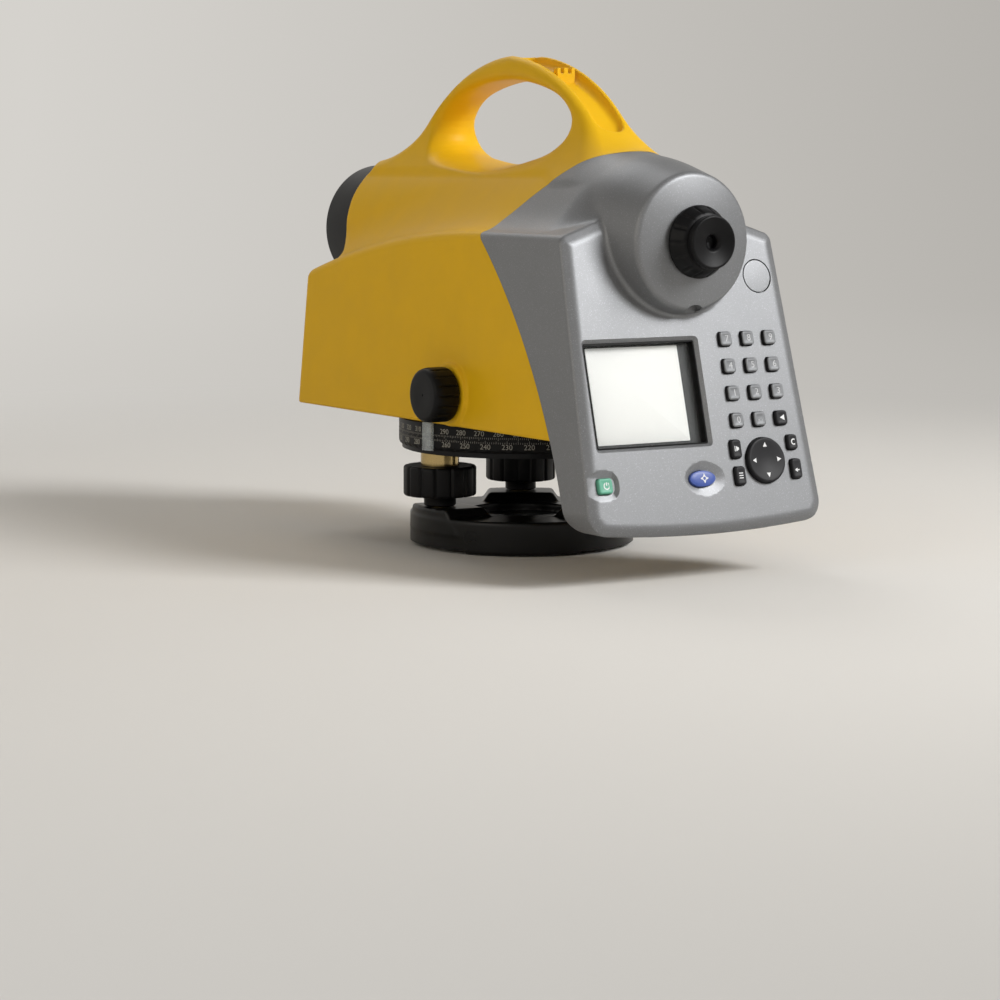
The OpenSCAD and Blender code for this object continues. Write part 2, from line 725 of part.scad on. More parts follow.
module key_arrows() {
    color(charcoal) on_panel(arrows_uv[0], arrows_uv[1]) {
        difference() {
            translate([0, 0, -key_floor - 0.9])
                cylinder(r = arrows_r, h = key_floor + 0.9 + key_proud + 0.3);
            translate([0, 0, key_proud - 0.7]) cylinder(r1 = 2, r2 = arrows_r - 1.2, h = 1.01);
        }
        translate([0, 0, -key_floor - 1]) cylinder(r = arrows_r + key_flange, h = 1);
        translate([0, 0, 1.5 - board_depth]) cylinder(r = 1.6, h = 5);
    }
}

module main_board() {
    color(board_green) on_panel(0, 0) difference() {
        translate([8.5 - body_half, 26, -board_depth - board_thick]) cube([2 * body_half - 15, 84, board_thick]);
        for (s = [-1, 1]) translate([s * post_u, 32, -20]) cylinder(r = 1.6, h = 20);
    }
    color(board_green) for (s = [-1, 1]) on_panel(s * post_u, 32) {
        translate([0, 0, -board_depth]) cylinder(r = 2.6, h = board_depth - wall);
    }
}

module display_module() {
    color(black) on_panel(screen_u, screen_v) {
        translate([-screen_w / 2 - 1, -screen_h / 2 - 1, -board_depth])
            cube([screen_w + 2, screen_h + 2, display_thick]);
        difference() {
            translate([-screen_w / 2 - frame_wall + 0.05, -screen_h / 2 - frame_wall + 0.05, -screen_depth - 1])
                cube([screen_w + 2 * frame_wall - 0.1, screen_h + 2 * frame_wall - 0.1, screen_depth + 0.9]);
            translate([-screen_w / 2, -screen_h / 2, -screen_depth]) cube([screen_w, screen_h, 10]);
        }
    }
}

module display_window() {
    color(clear) on_panel(screen_u, screen_v) translate([-screen_w / 2 + 0.05, -screen_h / 2 + 0.05, -screen_depth])
        cube([screen_w - 0.1, screen_h - 0.1, 1]);
}

module circular_level() {
    color(clear) translate([vial_x, vial_y, vial_low]) rotate_extrude()
        polygon([[0, 0], [vial_r, 0], [vial_r, 10], [vial_r - 1, 11], [vial_r - 5, 11.8], [0, 12]]);
}

module level_cover() {
    color(grey) on_panel(level_uv[0], level_uv[1]) translate([0, 0, -1.8]) cylinder(r = cover_r, h = 2);
}

module circle_magnifier() {
    color(clear) intersection() {
        difference() {
            zcyl(circle_r + 2.3, ring_low + 0.6, body_low);
            zcyl(circle_r + 0.4, 0, 90);
        }
        rotate([0, 0, 190]) box([50, -3.2, 40], [70, 3.2, 70]);
    }
}

// Telescope, from the objective back to the eyepiece
module sunshade() {
    color(black) ylathe([[sunshade_r, cell_seat_y + 4], [sunshade_r, sunshade_front - 0.8],
        [sunshade_r - 0.8, sunshade_front], [sunshade_r - 3, sunshade_front], [sunshade_r - 3.4, sunshade_front - 1],
        [objective_r + 4.2, cell_seat_y + 16], [objective_r + 4.2, cell_seat_y + 4]]);
}

module objective_lens() {
    color(clear) ylathe([[0, 89], [objective_r, 91], [objective_r + 2.5, 91], [objective_r + 2.5, 96],
        [objective_r, 96], [objective_r * 0.7, 98.2], [objective_r * 0.35, 99.4], [0, 99.8]]);
}

module telescope_tube() {
    color(charcoal) difference() {
        union() {
            ylathe([[tube_bore_r, tube_rear_y], [bore_r - 0.1, tube_rear_y], [bore_r - 0.1, tube_rear_y + 3],
                [tube_r, tube_rear_y + 3], [tube_r, 87], [sunshade_r, 87], [sunshade_r, cell_seat_y + 4],
                [objective_r + 2.5 + seat_fit, cell_seat_y + 4], [objective_r + 2.5 + seat_fit, 91],
                [objective_r, 91], [objective_r, 87], [tube_bore_r, 83]]);
            for (s = [-1, 1])
                box([s * 6.5 - 1.5, focus_y - 6, focus_z - 5], [s * 6.5 + 1.5, focus_y + 6, axis_height - 24]);
        }
        box([-3.3, focus_y - 49, axis_height - 50], [3.3, focus_y + 49, axis_height - 10]);
        xcyl(shaft_r + run_fit, -20, 20, focus_y, focus_z);
        ycone(tube_bore_r, tube_bore_r, tube_rear_y - 1, 83);
    }
}

// Sliding cell with a rack under it, driven by the pinion
module focus_cell() {
    rack = concat([[-36, rack_pitch_z + 3], [-36, rack_pitch_z + 0.75]],
        [for (k = [-22:21]) each [[(k + 0.5) * rack_pitch - 0.5, rack_pitch_z + 0.75],
            [(k + 0.5) * rack_pitch - 0.24, rack_pitch_z - 0.45],
            [(k + 0.5) * rack_pitch + 0.24, rack_pitch_z - 0.45],
            [(k + 0.5) * rack_pitch + 0.5, rack_pitch_z + 0.75]]],
        [[36, rack_pitch_z + 0.75], [36, rack_pitch_z + 3]]);
    color(metal) difference() {
        union() {
            ycone(tube_bore_r - run_fit, tube_bore_r - run_fit, focus_y - cell_len / 2, focus_y + cell_len / 2);
            translate([0, focus_y, 0]) xprism(rack, -3, 3);
            box([-3, focus_y - 36, rack_pitch_z + 2], [3, focus_y + 36, axis_height - tube_bore_r + 1.5]);
        }
        ycone(18 + seat_fit, 18 + seat_fit, focus_y - 3, focus_y + 40);
        ycone(15, 15, focus_y - 40, focus_y + 40);
    }
}

module focus_lens() {
    color(clear) ylathe([[0, focus_y], [8, focus_y - 0.6], [16, focus_y - 3], [18, focus_y - 3], [18, focus_y + 4],
        [16, focus_y + 4], [8, focus_y + 2.4], [0, focus_y + 2]]);
}

module focus_knob() {
    color(black) union() {
        translate([focus_knob_x, focus_y, focus_z]) rotate([0, 90, 0]) intersection() {
            linear_extrude(knob_face_x - focus_knob_x) grip_profile(focus_knob_r, 20, 1.3);
            rotate_extrude() polygon([[0, 0], [focus_knob_r, 0], [focus_knob_r, knob_face_x - focus_knob_x - 2],
                [focus_knob_r - 2, knob_face_x - focus_knob_x], [0, knob_face_x - focus_knob_x]]);
        }
        xcyl(shaft_r, -9, focus_knob_x + 0.4, focus_y, focus_z);
        translate([-2.8, focus_y, focus_z]) rotate([0, 90, 0]) linear_extrude(5.6)
            polygon(gear_points(pinion_teeth, pinion_r, 0.45, 0.65, 0.2, 0.42));
    }
}

module compensator_frame() {
    color(metal) difference() {
        union() {
            ycone(bore_r - 0.1, bore_r - 0.1, -38, tube_rear_y);
            box([-19, -74, axis_height - 24], [19, -38, axis_height + 24]);
            box([-8, -92, axis_height - 24], [13, -70, axis_height - 7]);
        }
        box([-13, -69, axis_height - 16], [13, -34, axis_height + 22]);
        ycone(12, 12, -40, -20);
        ycone(6.5, 6.5, -95, -60);
        xcyl(1.5 + run_fit, -30, 30, pivot_y, pivot_z);
        box([-7.2, -93, axis_height - 7.2], [7.2, -73, axis_height + 10]);
    }
}

module compensator_pendulum() {
    color(brass) union() {
        xcyl(1.5, -18.5, 18.5, pivot_y, pivot_z);
        xcyl(2.6, -12, 12, pivot_y, pivot_z);
        box([-10, pivot_y - 1.5, axis_height - 12], [10, pivot_y + 1.5, pivot_z]);
    }
}

module beam_splitter() {
    color(clear) box([-7, -88, axis_height - 7.2], [7, -74.2, axis_height + 7]);
}

module sensor_board() {
    color(board_green) {
        box([9.4, -91, axis_height - 7], [11, -74.4, axis_height + 12]);
        box([8, -86, axis_height - 4], [9.6, -76, axis_height + 4]);
    }
}

module reticle_cell() {
    color(charcoal) ylathe([[4, reticle_y], [turret_bore_r - seat_fit, reticle_y],
        [turret_bore_r - seat_fit, reticle_y + 9], [8.5, reticle_y + 9], [8.5, reticle_y + 6], [4, reticle_y + 6]]);
}

module dioptre_ring() {
    sleeve_r = turret_bore_r - run_fit;
    color(black) difference() {
        intersection() {
            translate([0, cap_y, axis_height]) rotate([-90, 0, 0]) linear_extrude(30)
                grip_profile(dioptre_r, 28, 1.1);
            ylathe([[0, cap_y], [11, cap_y], [12.07, cap_y + 0.8], [12.4, cap_y + 4], [dioptre_r - 1, cap_y + 6],
                [dioptre_r, cap_y + 7], [dioptre_r, turret_face_y - 1.2], [sleeve_r, turret_face_y - 1.2],
                [sleeve_r, sleeve_end_y], [0, sleeve_end_y]]);
        }
        ycone(ocular_r + run_fit, ocular_r + run_fit, cap_y + 1.5, sleeve_end_y + 5);
        ycone(4.6, 4.1, cap_y - 1, cap_y + 3);
    }
}

module ocular() {
    color(charcoal) ylathe([[0, cap_y + 5.2], [5, cap_y + 4.4], [ocular_r, cap_y + 4.4],
        [ocular_r, sleeve_end_y + 5], [7.5, sleeve_end_y + 5], [7.5, cap_y + 13.8], [0, cap_y + 13.8]]);
}

// Slow motion: worm shaft through the housing with a knob at each side
module tangent_knob(side) {
    low = tangent_knob_x;
    color(black) translate([side * low, worm_y, worm_z]) rotate([0, side * 90, 0]) difference() {
        intersection() {
            linear_extrude(knob_face_x - low) grip_profile(tangent_knob_r, 16, 1.2);
            rotate_extrude() polygon([[0, 0], [tangent_knob_r, 0], [tangent_knob_r, knob_face_x - low - 2],
                [tangent_knob_r - 2, knob_face_x - low], [0, knob_face_x - low]]);
        }
        translate([0, 0, -1]) cylinder(r = shaft_r + seat_fit, h = shaft_end_x - low + 1.2);
    }
}

module tangent_knob_left() { tangent_knob(-1); }

module tangent_knob_right() { tangent_knob(1); }

module tangent_worm() {
    worm_len = worm_lead * worm_turns;
    color(metal) union() {
        xcyl(shaft_r, -shaft_end_x, shaft_end_x, worm_y, worm_z);
        translate([-worm_len / 2, worm_y, worm_z]) rotate([0, 90, 0])
            linear_extrude(worm_len, twist = -360 * worm_turns, slices = 12 * worm_turns, $fn = 16)
                rotate(180 * (worm_turns % 2) + 270) translate([0.65, 0]) circle(r = 3.75, $fn = 16);
    }
}

module trigger_button() {
    color(black) union() {
        xcyl(trigger_r, cavity_half - 1.4, body_half + 0.9, trigger_y, trigger_z);
        xcyl(trigger_r + 1.5, cavity_half - 2.8, cavity_half, trigger_y, trigger_z);
    }
}

module battery_pack() {
    color(charcoal) difference() {
        box([16, battery_front - battery_len, cover_top + 0.1], [body_half + 0.5, battery_front, battery_top]);
        box([body_half - 0.9, battery_front - battery_len / 2 - 9, battery_top - 10],
            [body_half + 2, battery_front - battery_len / 2 + 9, battery_top - 4]);
    }
}

base_plate();
spring_plate();
thread_bush();
foot_screw_left();
foot_screw_front();
foot_screw_rear();
foot_knob_left();
foot_knob_front();
foot_knob_rear();
tribrach_head();
axis_spindle();
circle_ring();
clutch_wheel();
main_housing();
bottom_cover();
rear_housing();
housing_screws();
circle_magnifier();
sunshade();
objective_lens();
telescope_tube();
focus_cell();
focus_lens();
focus_knob();
compensator_frame();
compensator_pendulum();
beam_splitter();
sensor_board();
reticle_cell();
dioptre_ring();
ocular();
main_board();
display_module();
display_window();
circular_level();
level_cover();
tangent_knob_left();
tangent_knob_right();
tangent_worm();
trigger_button();
battery_pack();
key_0();
key_1();
key_2();
key_3();
key_4();
key_5();
key_6();
key_7();
key_8();
key_9();
key_point();
key_back();
key_star();
key_func();
key_alpha();
key_enter();
key_power();
key_measure();
key_arrows();
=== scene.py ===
"""Looks of the digital level: smooth moulded shells, fluted knobs, printed circle and keys.

Sizes are millimetres in the part's frame (+Z up, keys towards -Y) and become metres when a
mesh is made. The shells are distance fields, meshed and then cut where the part is cut.
"""
import json
import math

import bmesh
import bpy
import numpy as np
from mathutils import Matrix, Vector


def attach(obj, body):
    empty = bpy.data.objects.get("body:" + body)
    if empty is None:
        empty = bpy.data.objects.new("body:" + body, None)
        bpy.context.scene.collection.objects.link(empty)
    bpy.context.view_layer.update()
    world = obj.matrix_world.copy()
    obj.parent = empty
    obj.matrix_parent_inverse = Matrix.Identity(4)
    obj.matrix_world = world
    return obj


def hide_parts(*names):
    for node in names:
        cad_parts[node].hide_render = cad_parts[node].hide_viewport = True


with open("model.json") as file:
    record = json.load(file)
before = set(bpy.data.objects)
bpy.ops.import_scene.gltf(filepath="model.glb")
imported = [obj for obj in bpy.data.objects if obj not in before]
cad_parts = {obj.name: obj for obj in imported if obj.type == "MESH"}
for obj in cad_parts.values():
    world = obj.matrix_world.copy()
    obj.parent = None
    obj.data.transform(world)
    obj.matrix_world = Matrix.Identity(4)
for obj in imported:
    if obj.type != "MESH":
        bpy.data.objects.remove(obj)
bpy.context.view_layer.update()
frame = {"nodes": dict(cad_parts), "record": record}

# -------------------- sizes, as in the part's source
MM = 0.001
AXIS = 150.0  # height of the telescope axis
CREST = 235.0  # height of the handle crest
BODY_LOW, SHOULDER_Z = 62.5, 152.0
BODY_HALF, SHOULDER_HALF = 62.5, 58.3
DRAFT = (BODY_HALF - SHOULDER_HALF) / (SHOULDER_Z - BODY_LOW)
SLOPE = math.radians(18)  # fall of the roof to each side
CREASE_DROP, CREASE_FROM, CREASE_RUN = 22, -53, 159
FRONT_Y, FRONT_LEAN = 115.4, math.radians(4.4)
BARREL_R, BARREL_TAPER, BARREL_REAR, BARREL_RUN = 39.2, 5.0, -95, 232
RAIL_HALF, RAIL_FLARE, HANDLE_HALF = 12.3, 20, 30
CHANNEL_HALF, CHANNEL_END, CHANNEL_DEPTH = 7.5, -70, 5.5
TILT = math.radians(15.1)  # lean of the key panel
PANEL_Y, PANEL_Z, PANEL_LOW = -134.42, 100.0, 20.8
PANEL_SAG, PANEL_SAG_HALF = 2.2, 52  # the lower edge rises by this much at this half width
TURRET_FACE, TURRET_R, TURRET_FOOT = -140.8, 29.8, -105.0
TURRET_DOME, TURRET_BLEND = 130, 5
BORE_R, WALL = 31, 3
SUNSHADE_R, SUNSHADE_FRONT = 32.4, 137.8
FEET = {"left": 177.7, "front": 57.7, "rear": -62.3}
FOOT_CIRCLE = 45.9
BASE_R, BASE_THICK, BOSS_TOP, WELL_R, WELL_FLOOR = 54.6, 16.0, 20.2, 25, 12.0
CIRCLE_R, CIRCLE_ZERO = 60.0, 100.2  # radius, and the angle of the circle's zero at rest
WORM_Y, WORM_Z, WORM_BOSS_R, WORM_BOSS_X = -34.0, 77.4, 14.6, 63.6
FOCUS_Y, FOCUS_Z, FOCUS_BOSS_R, FOCUS_BOSS_X = 20.0, 116.5, 18.5, 62.2
SHAFT_BORE_R = 3.3
TRIGGER_Y, TRIGGER_Z, TRIGGER_BORE_R = -12, 112, 6.8
BATTERY_Y, BATTERY_Z = 66, 86.8
LEVEL_X, LEVEL_Y = 47, -88
SCREEN_U, SCREEN_V, SCREEN_W, SCREEN_H, SCREEN_DEPTH = -24.5, 83.0, 59.9, 46.9, 5.5
LCD_U, LCD_V, LCD_W, LCD_H = -25.9, 83.5, 49.8, 43.4
COVER_U, COVER_V = 45.6, 134.6
KEY_COL, KEY_ROW, KEY_PITCH, KEY_W, KEY_PROUD = 21.52, 105.9, 12.42, 6.5, 2.0
KEY_FOOT, KEY_CORNER, KEY_ROUND, KEY_DISH, KEY_GAP = -3.8, 1.4, 0.8, 0.25, 0.6
POWER_PROUD = 0.2
MEASURE_U, MEASURE_V = -1.4, 43.6
ARROWS_U, ARROWS_V, ARROWS_R = 34.24, 49.8, 10.4
CUT_HALF = 90  # half width of a cutter that passes right through


# -------------------- materials
COAT_ROUGHNESS, GRAIN_DEPTH = 0.15, 0.0002
EDGE_FROM, EDGE_TO = 0.53, 0.62  # pointiness at which edge wear starts and is full
SPECK_RAMP = 0.08


def material(name, colour, rough, metal=0.0, vary=0.05, scale=60.0, grain=900.0, bump=0.05, speck=None,
             coat=0.0, wear=None, alpha=1.0, glow=0.0, gloss=0.5, rough_vary=0.06):
    """A surface with slow colour changes, uneven roughness, a fine grain, and optional specks and edge wear."""
    m = bpy.data.materials.new(name)
    m.use_nodes = True
    tree = m.node_tree
    nodes, links = tree.nodes, tree.links
    shader = nodes["Principled BSDF"]
    shader.inputs["Metallic"].default_value = metal
    shader.inputs["Coat Weight"].default_value = coat
    shader.inputs["Coat Roughness"].default_value = COAT_ROUGHNESS
    shader.inputs["Alpha"].default_value = alpha
    shader.inputs["Specular IOR Level"].default_value = gloss
    place = nodes.new("ShaderNodeTexCoord")

    def noise(size, detail, label):
        n = nodes.new("ShaderNodeTexNoise")
        n.label = label
        n.inputs["Scale"].default_value = size
        n.inputs["Detail"].default_value = detail
        links.new(place.outputs["Object"], n.inputs["Vector"])
        return n

    def ramp(source, stops):
        r = nodes.new("ShaderNodeValToRGB")
        for element, (position, shade) in zip(r.color_ramp.elements, stops):
            element.position, element.color = position, (*shade, 1)
        links.new(source, r.inputs["Fac"])
        return r.outputs["Color"]

    def mix(fac, a, b):
        n = nodes.new("ShaderNodeMix")
        n.data_type = 'RGBA'
        links.new(fac, n.inputs["Factor"])
        links.new(a, n.inputs["A"])
        n.inputs["B"].default_value = (*b, 1)
        return n.outputs["Result"]

    slow = noise(scale, 4, "slow change")
    tone = ramp(slow.outputs["Fac"], [(0.25, [c * (1 - vary) for c in colour]),
                                      (0.75, [min(1, c * (1 + vary)) for c in colour])])
    fine = noise(grain, 3, "grain")
    if speck:
        speck_scale, threshold, strength, speck_colour = speck
        dots = noise(speck_scale, 1, "specks")
        limit = nodes.new("ShaderNodeMapRange")
        limit.inputs["From Min"].default_value = threshold
        limit.inputs["From Max"].default_value = threshold + SPECK_RAMP
        limit.inputs["To Max"].default_value = strength
        links.new(dots.outputs["Fac"], limit.inputs["Value"])
        tone = mix(limit.outputs["Result"], tone, speck_colour)
    if wear:
        worn_share, worn_colour = wear
        edge = nodes.new("ShaderNodeNewGeometry")
        band = nodes.new("ShaderNodeMapRange")
        band.inputs["From Min"].default_value = EDGE_FROM
        band.inputs["From Max"].default_value = EDGE_TO
        band.inputs["To Max"].default_value = worn_share
        links.new(edge.outputs["Pointiness"], band.inputs["Value"])
        tone = mix(band.outputs["Result"], tone, worn_colour)
    links.new(tone, shader.inputs["Base Color"])
    spread = nodes.new("ShaderNodeMapRange")
    spread.inputs["To Min"].default_value = max(0.02, rough - rough_vary)
    spread.inputs["To Max"].default_value = min(1, rough + rough_vary)
    links.new(slow.outputs["Fac"], spread.inputs["Value"])
    links.new(spread.outputs["Result"], shader.inputs["Roughness"])
    if bump:
        b = nodes.new("ShaderNodeBump")
        b.inputs["Strength"].default_value = bump
        b.inputs["Distance"].default_value = GRAIN_DEPTH
        links.new(fine.outputs["Fac"], b.inputs["Height"])
        links.new(b.outputs["Normal"], shader.inputs["Normal"])
    # glow is painted light: the surface gives off light of its own colour
    if glow:
        links.new(tone, shader.inputs["Emission Color"])
        shader.inputs["Emission Strength"].default_value = glow
    return m


MATERIALS = {
    "yellow_shell": material("yellow_shell", (0.79, 0.462, 0.010), 0.42, vary=0.03, grain=2600, bump=0.035, gloss=0.12,
                             wear=(0.2, (0.80, 0.50, 0.06))),
    "grey_shell": material("grey_shell", (0.198, 0.203, 0.211), 0.44, metal=0.5, vary=0.03, grain=3200, bump=0.07,
                           speck=(2400, 0.62, 0.4, (0.42, 0.43, 0.45))),
    "black_metal": material("black_metal", (0.005, 0.005, 0.005), 0.3, vary=0.2, grain=2500, bump=0.05, gloss=0.25,
                            wear=(0.25, (0.07, 0.07, 0.07))),
    "black_plastic": material("black_plastic", (0.004, 0.004, 0.0045), 0.42, vary=0.15, grain=3000, bump=0.08,
                              gloss=0.16),
    "dark_metal": material("dark_metal", (0.008, 0.008, 0.009), 0.4, metal=0.3, vary=0.15, grain=1800, bump=0.05,
                           gloss=0.2),
    "brass": material("brass", (0.46, 0.34, 0.15), 0.2, metal=1.0, vary=0.08, grain=1500, bump=0.04),
    "steel": material("steel", (0.50, 0.51, 0.52), 0.3, metal=1.0, vary=0.06, grain=1500, bump=0.05),
    "bare_aluminium": material("bare_aluminium", (0.55, 0.56, 0.57), 0.35, metal=1.0, vary=0.06),
    "glass": material("glass", (0.75, 0.82, 0.85), 0.06, vary=0.03, bump=0, alpha=0.3, rough_vary=0.03),
    "circuit_board": material("circuit_board", (0.03, 0.16, 0.07), 0.4, vary=0.2, grain=700, bump=0.1),
    "number_key": material("number_key", (0.17, 0.176, 0.184), 0.5, metal=0.3, vary=0.05, grain=2500, bump=0.08),
    "dark_key": material("dark_key", (0.012, 0.012, 0.014), 0.5, vary=0.1, grain=2500, bump=0.08, gloss=0.25),
    "green_key": material("green_key", (0.11, 0.38, 0.26), 0.45, vary=0.06, grain=2500, bump=0.06),
    "blue_key": material("blue_key", (0.05, 0.095, 0.36), 0.4, vary=0.08, grain=2500, bump=0.06),
    "screen": material("screen_frame", (0.005, 0.005, 0.005), 0.55, vary=0.15, grain=2500, bump=0.06, gloss=0.15),
}
DIGITS = material("key_print", (0.46, 0.47, 0.48), 0.55, vary=0.06, grain=3000, bump=0.03)
WINDOW = material("screen_window", (0.8, 0.84, 0.85), 0.08, vary=0.03, bump=0, alpha=0.05, gloss=0.1, rough_vary=0.03)
# painted light: the screen face glows a little so that it looks brighter than the lamps alone make it
LCD = material("screen_face", (0.74, 0.75, 0.73), 0.5, vary=0.008, scale=25, grain=4000, bump=0.02, glow=0.14,
               gloss=0.2)
PRINT = material("white_print", (0.72, 0.73, 0.74), 0.55, vary=0.06, grain=3000, bump=0.03)
DIM_PRINT = material("circle_print", (0.32, 0.31, 0.27), 0.6, vary=0.12, scale=300, grain=3000, bump=0.03)
COATED = material("coated_lens", (0.020, 0.012, 0.030), 0.05, vary=0.3, scale=20, bump=0, coat=0.8, rough_vary=0.02)
VIAL = material("vial_liquid", (0.45, 0.62, 0.12), 0.12, vary=0.05, bump=0, coat=0.6, rough_vary=0.03)
BUBBLE = material("vial_bubble", (0.80, 0.88, 0.55), 0.1, vary=0.04, bump=0, coat=0.6, rough_vary=0.03)


# -------------------- meshes
def make(name, verts, faces):
    """An object from points in millimetres, with its faces turned outwards."""
    mesh = bpy.data.meshes.new(name)
    mesh.from_pydata((np.asarray(verts, float) * MM).tolist(), [], [tuple(f) for f in faces])
    bm = bmesh.new()
    bm.from_mesh(mesh)
    bmesh.ops.recalc_face_normals(bm, faces=bm.faces)
    bm.to_mesh(mesh)
    bm.free()
    obj = bpy.data.objects.new(name, mesh)
    bpy.context.scene.collection.objects.link(obj)
    return obj


def dress(obj, body, slot, stands_for=None, look=None, sharp=35):
    """Smooth shading with crisp edges, a material, and the body that the piece moves with."""
    mesh = obj.data
    mesh.polygons.foreach_set("use_smooth", [True] * len(mesh.polygons))
    mesh.set_sharp_from_angle(angle=math.radians(sharp))
    mesh.materials.clear()
    mesh.materials.append(look or MATERIALS[slot])
    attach(obj, body)
    if stands_for:
        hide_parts(stands_for)
    return obj


def loft(rings, closed=False):
    """Faces that join equal rings of points, capped at both ends unless the rings close on themselves."""
    n, count = len(rings[0]), len(rings)
    faces = []
    for k in range(count if closed else count - 1):
        a, b = k * n, (k + 1) % count * n
        faces += [(a + i, a + (i + 1) % n, b + (i + 1) % n, b + i) for i in range(n)]
    if not closed:
        faces += [tuple(range(n))[::-1], tuple(range((count - 1) * n, count * n))]
    return np.concatenate(rings), faces


def placed(verts, matrix):
    """Points moved by a 4 x 4 matrix."""
    m = np.array(matrix)
    return np.asarray(verts) @ m[:3, :3].T + m[:3, 3]


def axes(origin, x, y, z):
    """A frame with these axes at this origin."""
    m = Matrix((x, y, z)).transposed().to_4x4()
    m.translation = origin
    return m


def upright(x, y):
    """Frame of a piece that turns about a vertical line."""
    return axes((x, y, 0), (1, 0, 0), (0, 1, 0), (0, 0, 1))


def sideways(side, y, z):
    """Frame of a piece that turns about a line across the body; side is -1 or 1."""
    return axes((0, y, z), (0, 1, 0), (0, 0, side), (side, 0, 0))


FORWARD = axes((0, 0, AXIS), (1, 0, 0), (0, 0, -1), (0, 1, 0))
BACKWARD = axes((0, 0, AXIS), (1, 0, 0), (0, 0, 1), (0, -1, 0))


def turned(profile, matrix, segments=96, flutes=0, width=0.5, closed=False):
    """A turned piece: (radius, height, groove depth) rings. Grooves are cut flutes times round the piece."""
    t = np.arange(segments) * 2 * np.pi / segments
    groove = np.zeros(segments)
    if flutes:
        phase = (t * flutes / (2 * np.pi) + 0.5) % 1 - 0.5
        groove = np.where(np.abs(phase) < width / 2, 0.5 + 0.5 * np.cos(2 * np.pi * phase / width), 0)
    rings = []
    for p in profile:
        r = max(p[0], 0.02) - (p[2] if len(p) > 2 else 0) * groove
        rings.append(np.stack([r * np.cos(t), r * np.sin(t), np.full(segments, p[1])], 1))
    verts, faces = loft(rings, closed)
    return placed(verts, matrix), faces


def polar(r, degrees):
    """The point at this radius and angle."""
    return r * math.cos(math.radians(degrees)), r * math.sin(math.radians(degrees))


def corner(r, h, radius, a0, a1, depth=0.0, n=4):
    """Points of a rounded edge in a turned profile, about the centre (r, h)."""
    turn = [polar(radius, a0 + (a1 - a0) * i / n) for i in range(n + 1)]
    return [(r + out, h + up, depth) for out, up in turn]


def outline(w, h, r, n=6):
    """A rounded rectangle, anticlockwise."""
    pts = []
    x, y = w / 2 - r, h / 2 - r
    for cx, cy, a in ((x, y, 0), (-x, y, 90), (-x, -y, 180), (x, -y, 270)):
        turn = [polar(r, a + 90 * i / n) for i in range(n + 1)]
        pts += [(cx + dx, cy + dy) for dx, dy in turn]
    return np.array(pts)


def oval(w, h, n=48):
    """An ellipse, anticlockwise."""
    t = np.arange(n) * 2 * np.pi / n
    return np.stack([w / 2 * np.cos(t), h / 2 * np.sin(t)], 1)


def on_panel(uvw):
    """Panel places (across, up the slope, out) as points."""
    u, v, w = np.asarray(uvw, float).T
    s, c = math.sin(TILT), math.cos(TILT)
    return np.stack([u, PANEL_Y + (v - PANEL_Z) * s - w * c, PANEL_Z + (v - PANEL_Z) * c + w * s], 1)


def panel_loft(u, v, levels):
    """A piece on the panel from outlines at heights: [(outline, height), ...]."""
    rings = [np.column_stack([o[:, 0] + u, o[:, 1] + v, np.full(len(o), w)]) for o, w in levels]
    return loft([on_panel(ring) for ring in rings])


def x_prism(pts, x0, x1):
    """A prism across the body from a (y, z) outline."""
    p = np.asarray(pts, float)
    return loft([np.column_stack([np.full(len(p), x), p]) for x in (x0, x1)])


def block(low, high):
    """A plain cutter between two corners."""
    (a, b, c), (d, e, f) = low, high
    return x_prism([(b, c), (e, c), (e, f), (b, f)], a, d)


def cut(obj, cutters, operation='DIFFERENCE'):
    """Applies booleans with (verts, faces) solids or objects, in order."""
    made = []
    for k, c in enumerate(cutters):
        tool = c if isinstance(c, bpy.types.Object) else make("cutter", *c)
        made.append(tool)
        mod = obj.modifiers.new("cut%d" % k, 'BOOLEAN')
        mod.operation, mod.solver, mod.object = operation, 'MANIFOLD', tool
    mesh = bpy.data.meshes.new_from_object(obj.evaluated_get(bpy.context.evaluated_depsgraph_get()))
    obj.modifiers.clear()
    obj.data = mesh
    for tool in made:
        bpy.data.objects.remove(tool, do_unlink=True)
    return obj


# -------------------- distance fields
def join(a, b, r):
    """Union with a rounded inside corner of radius r."""
    return np.maximum(r, np.minimum(a, b)) - np.hypot(np.maximum(r - a, 0), np.maximum(r - b, 0))


def trim(a, b, r):
    """Intersection with a rounded outside corner of radius r."""
    return np.minimum(-r, np.maximum(a, b)) + np.hypot(np.maximum(r + a, 0), np.maximum(r + b, 0))


def arc3(a, b, c, n):
    """Points of the arc from a through b to c."""
    (ax, ay), (bx, by), (cx, cy) = a, b, c
    d = 2 * (ax * (by - cy) + bx * (cy - ay) + cx * (ay - by))
    a2, b2, c2 = ax * ax + ay * ay, bx * bx + by * by, cx * cx + cy * cy
    ox = (a2 * (by - cy) + b2 * (cy - ay) + c2 * (ay - by)) / d
    oy = (a2 * (cx - bx) + b2 * (ax - cx) + c2 * (bx - ax)) / d
    t = [math.atan2(p[1] - oy, p[0] - ox) for p in (a, b, c)]
    sweep, part = (t[2] - t[0]) % (2 * math.pi), (t[1] - t[0]) % (2 * math.pi)
    if part > sweep:
        sweep -= 2 * math.pi
    r = math.hypot(ax - ox, ay - oy)
    turn = [t[0] + sweep * i / n for i in range(n + 1)]
    return [(ox + r * math.cos(a), oy + r * math.sin(a)) for a in turn]


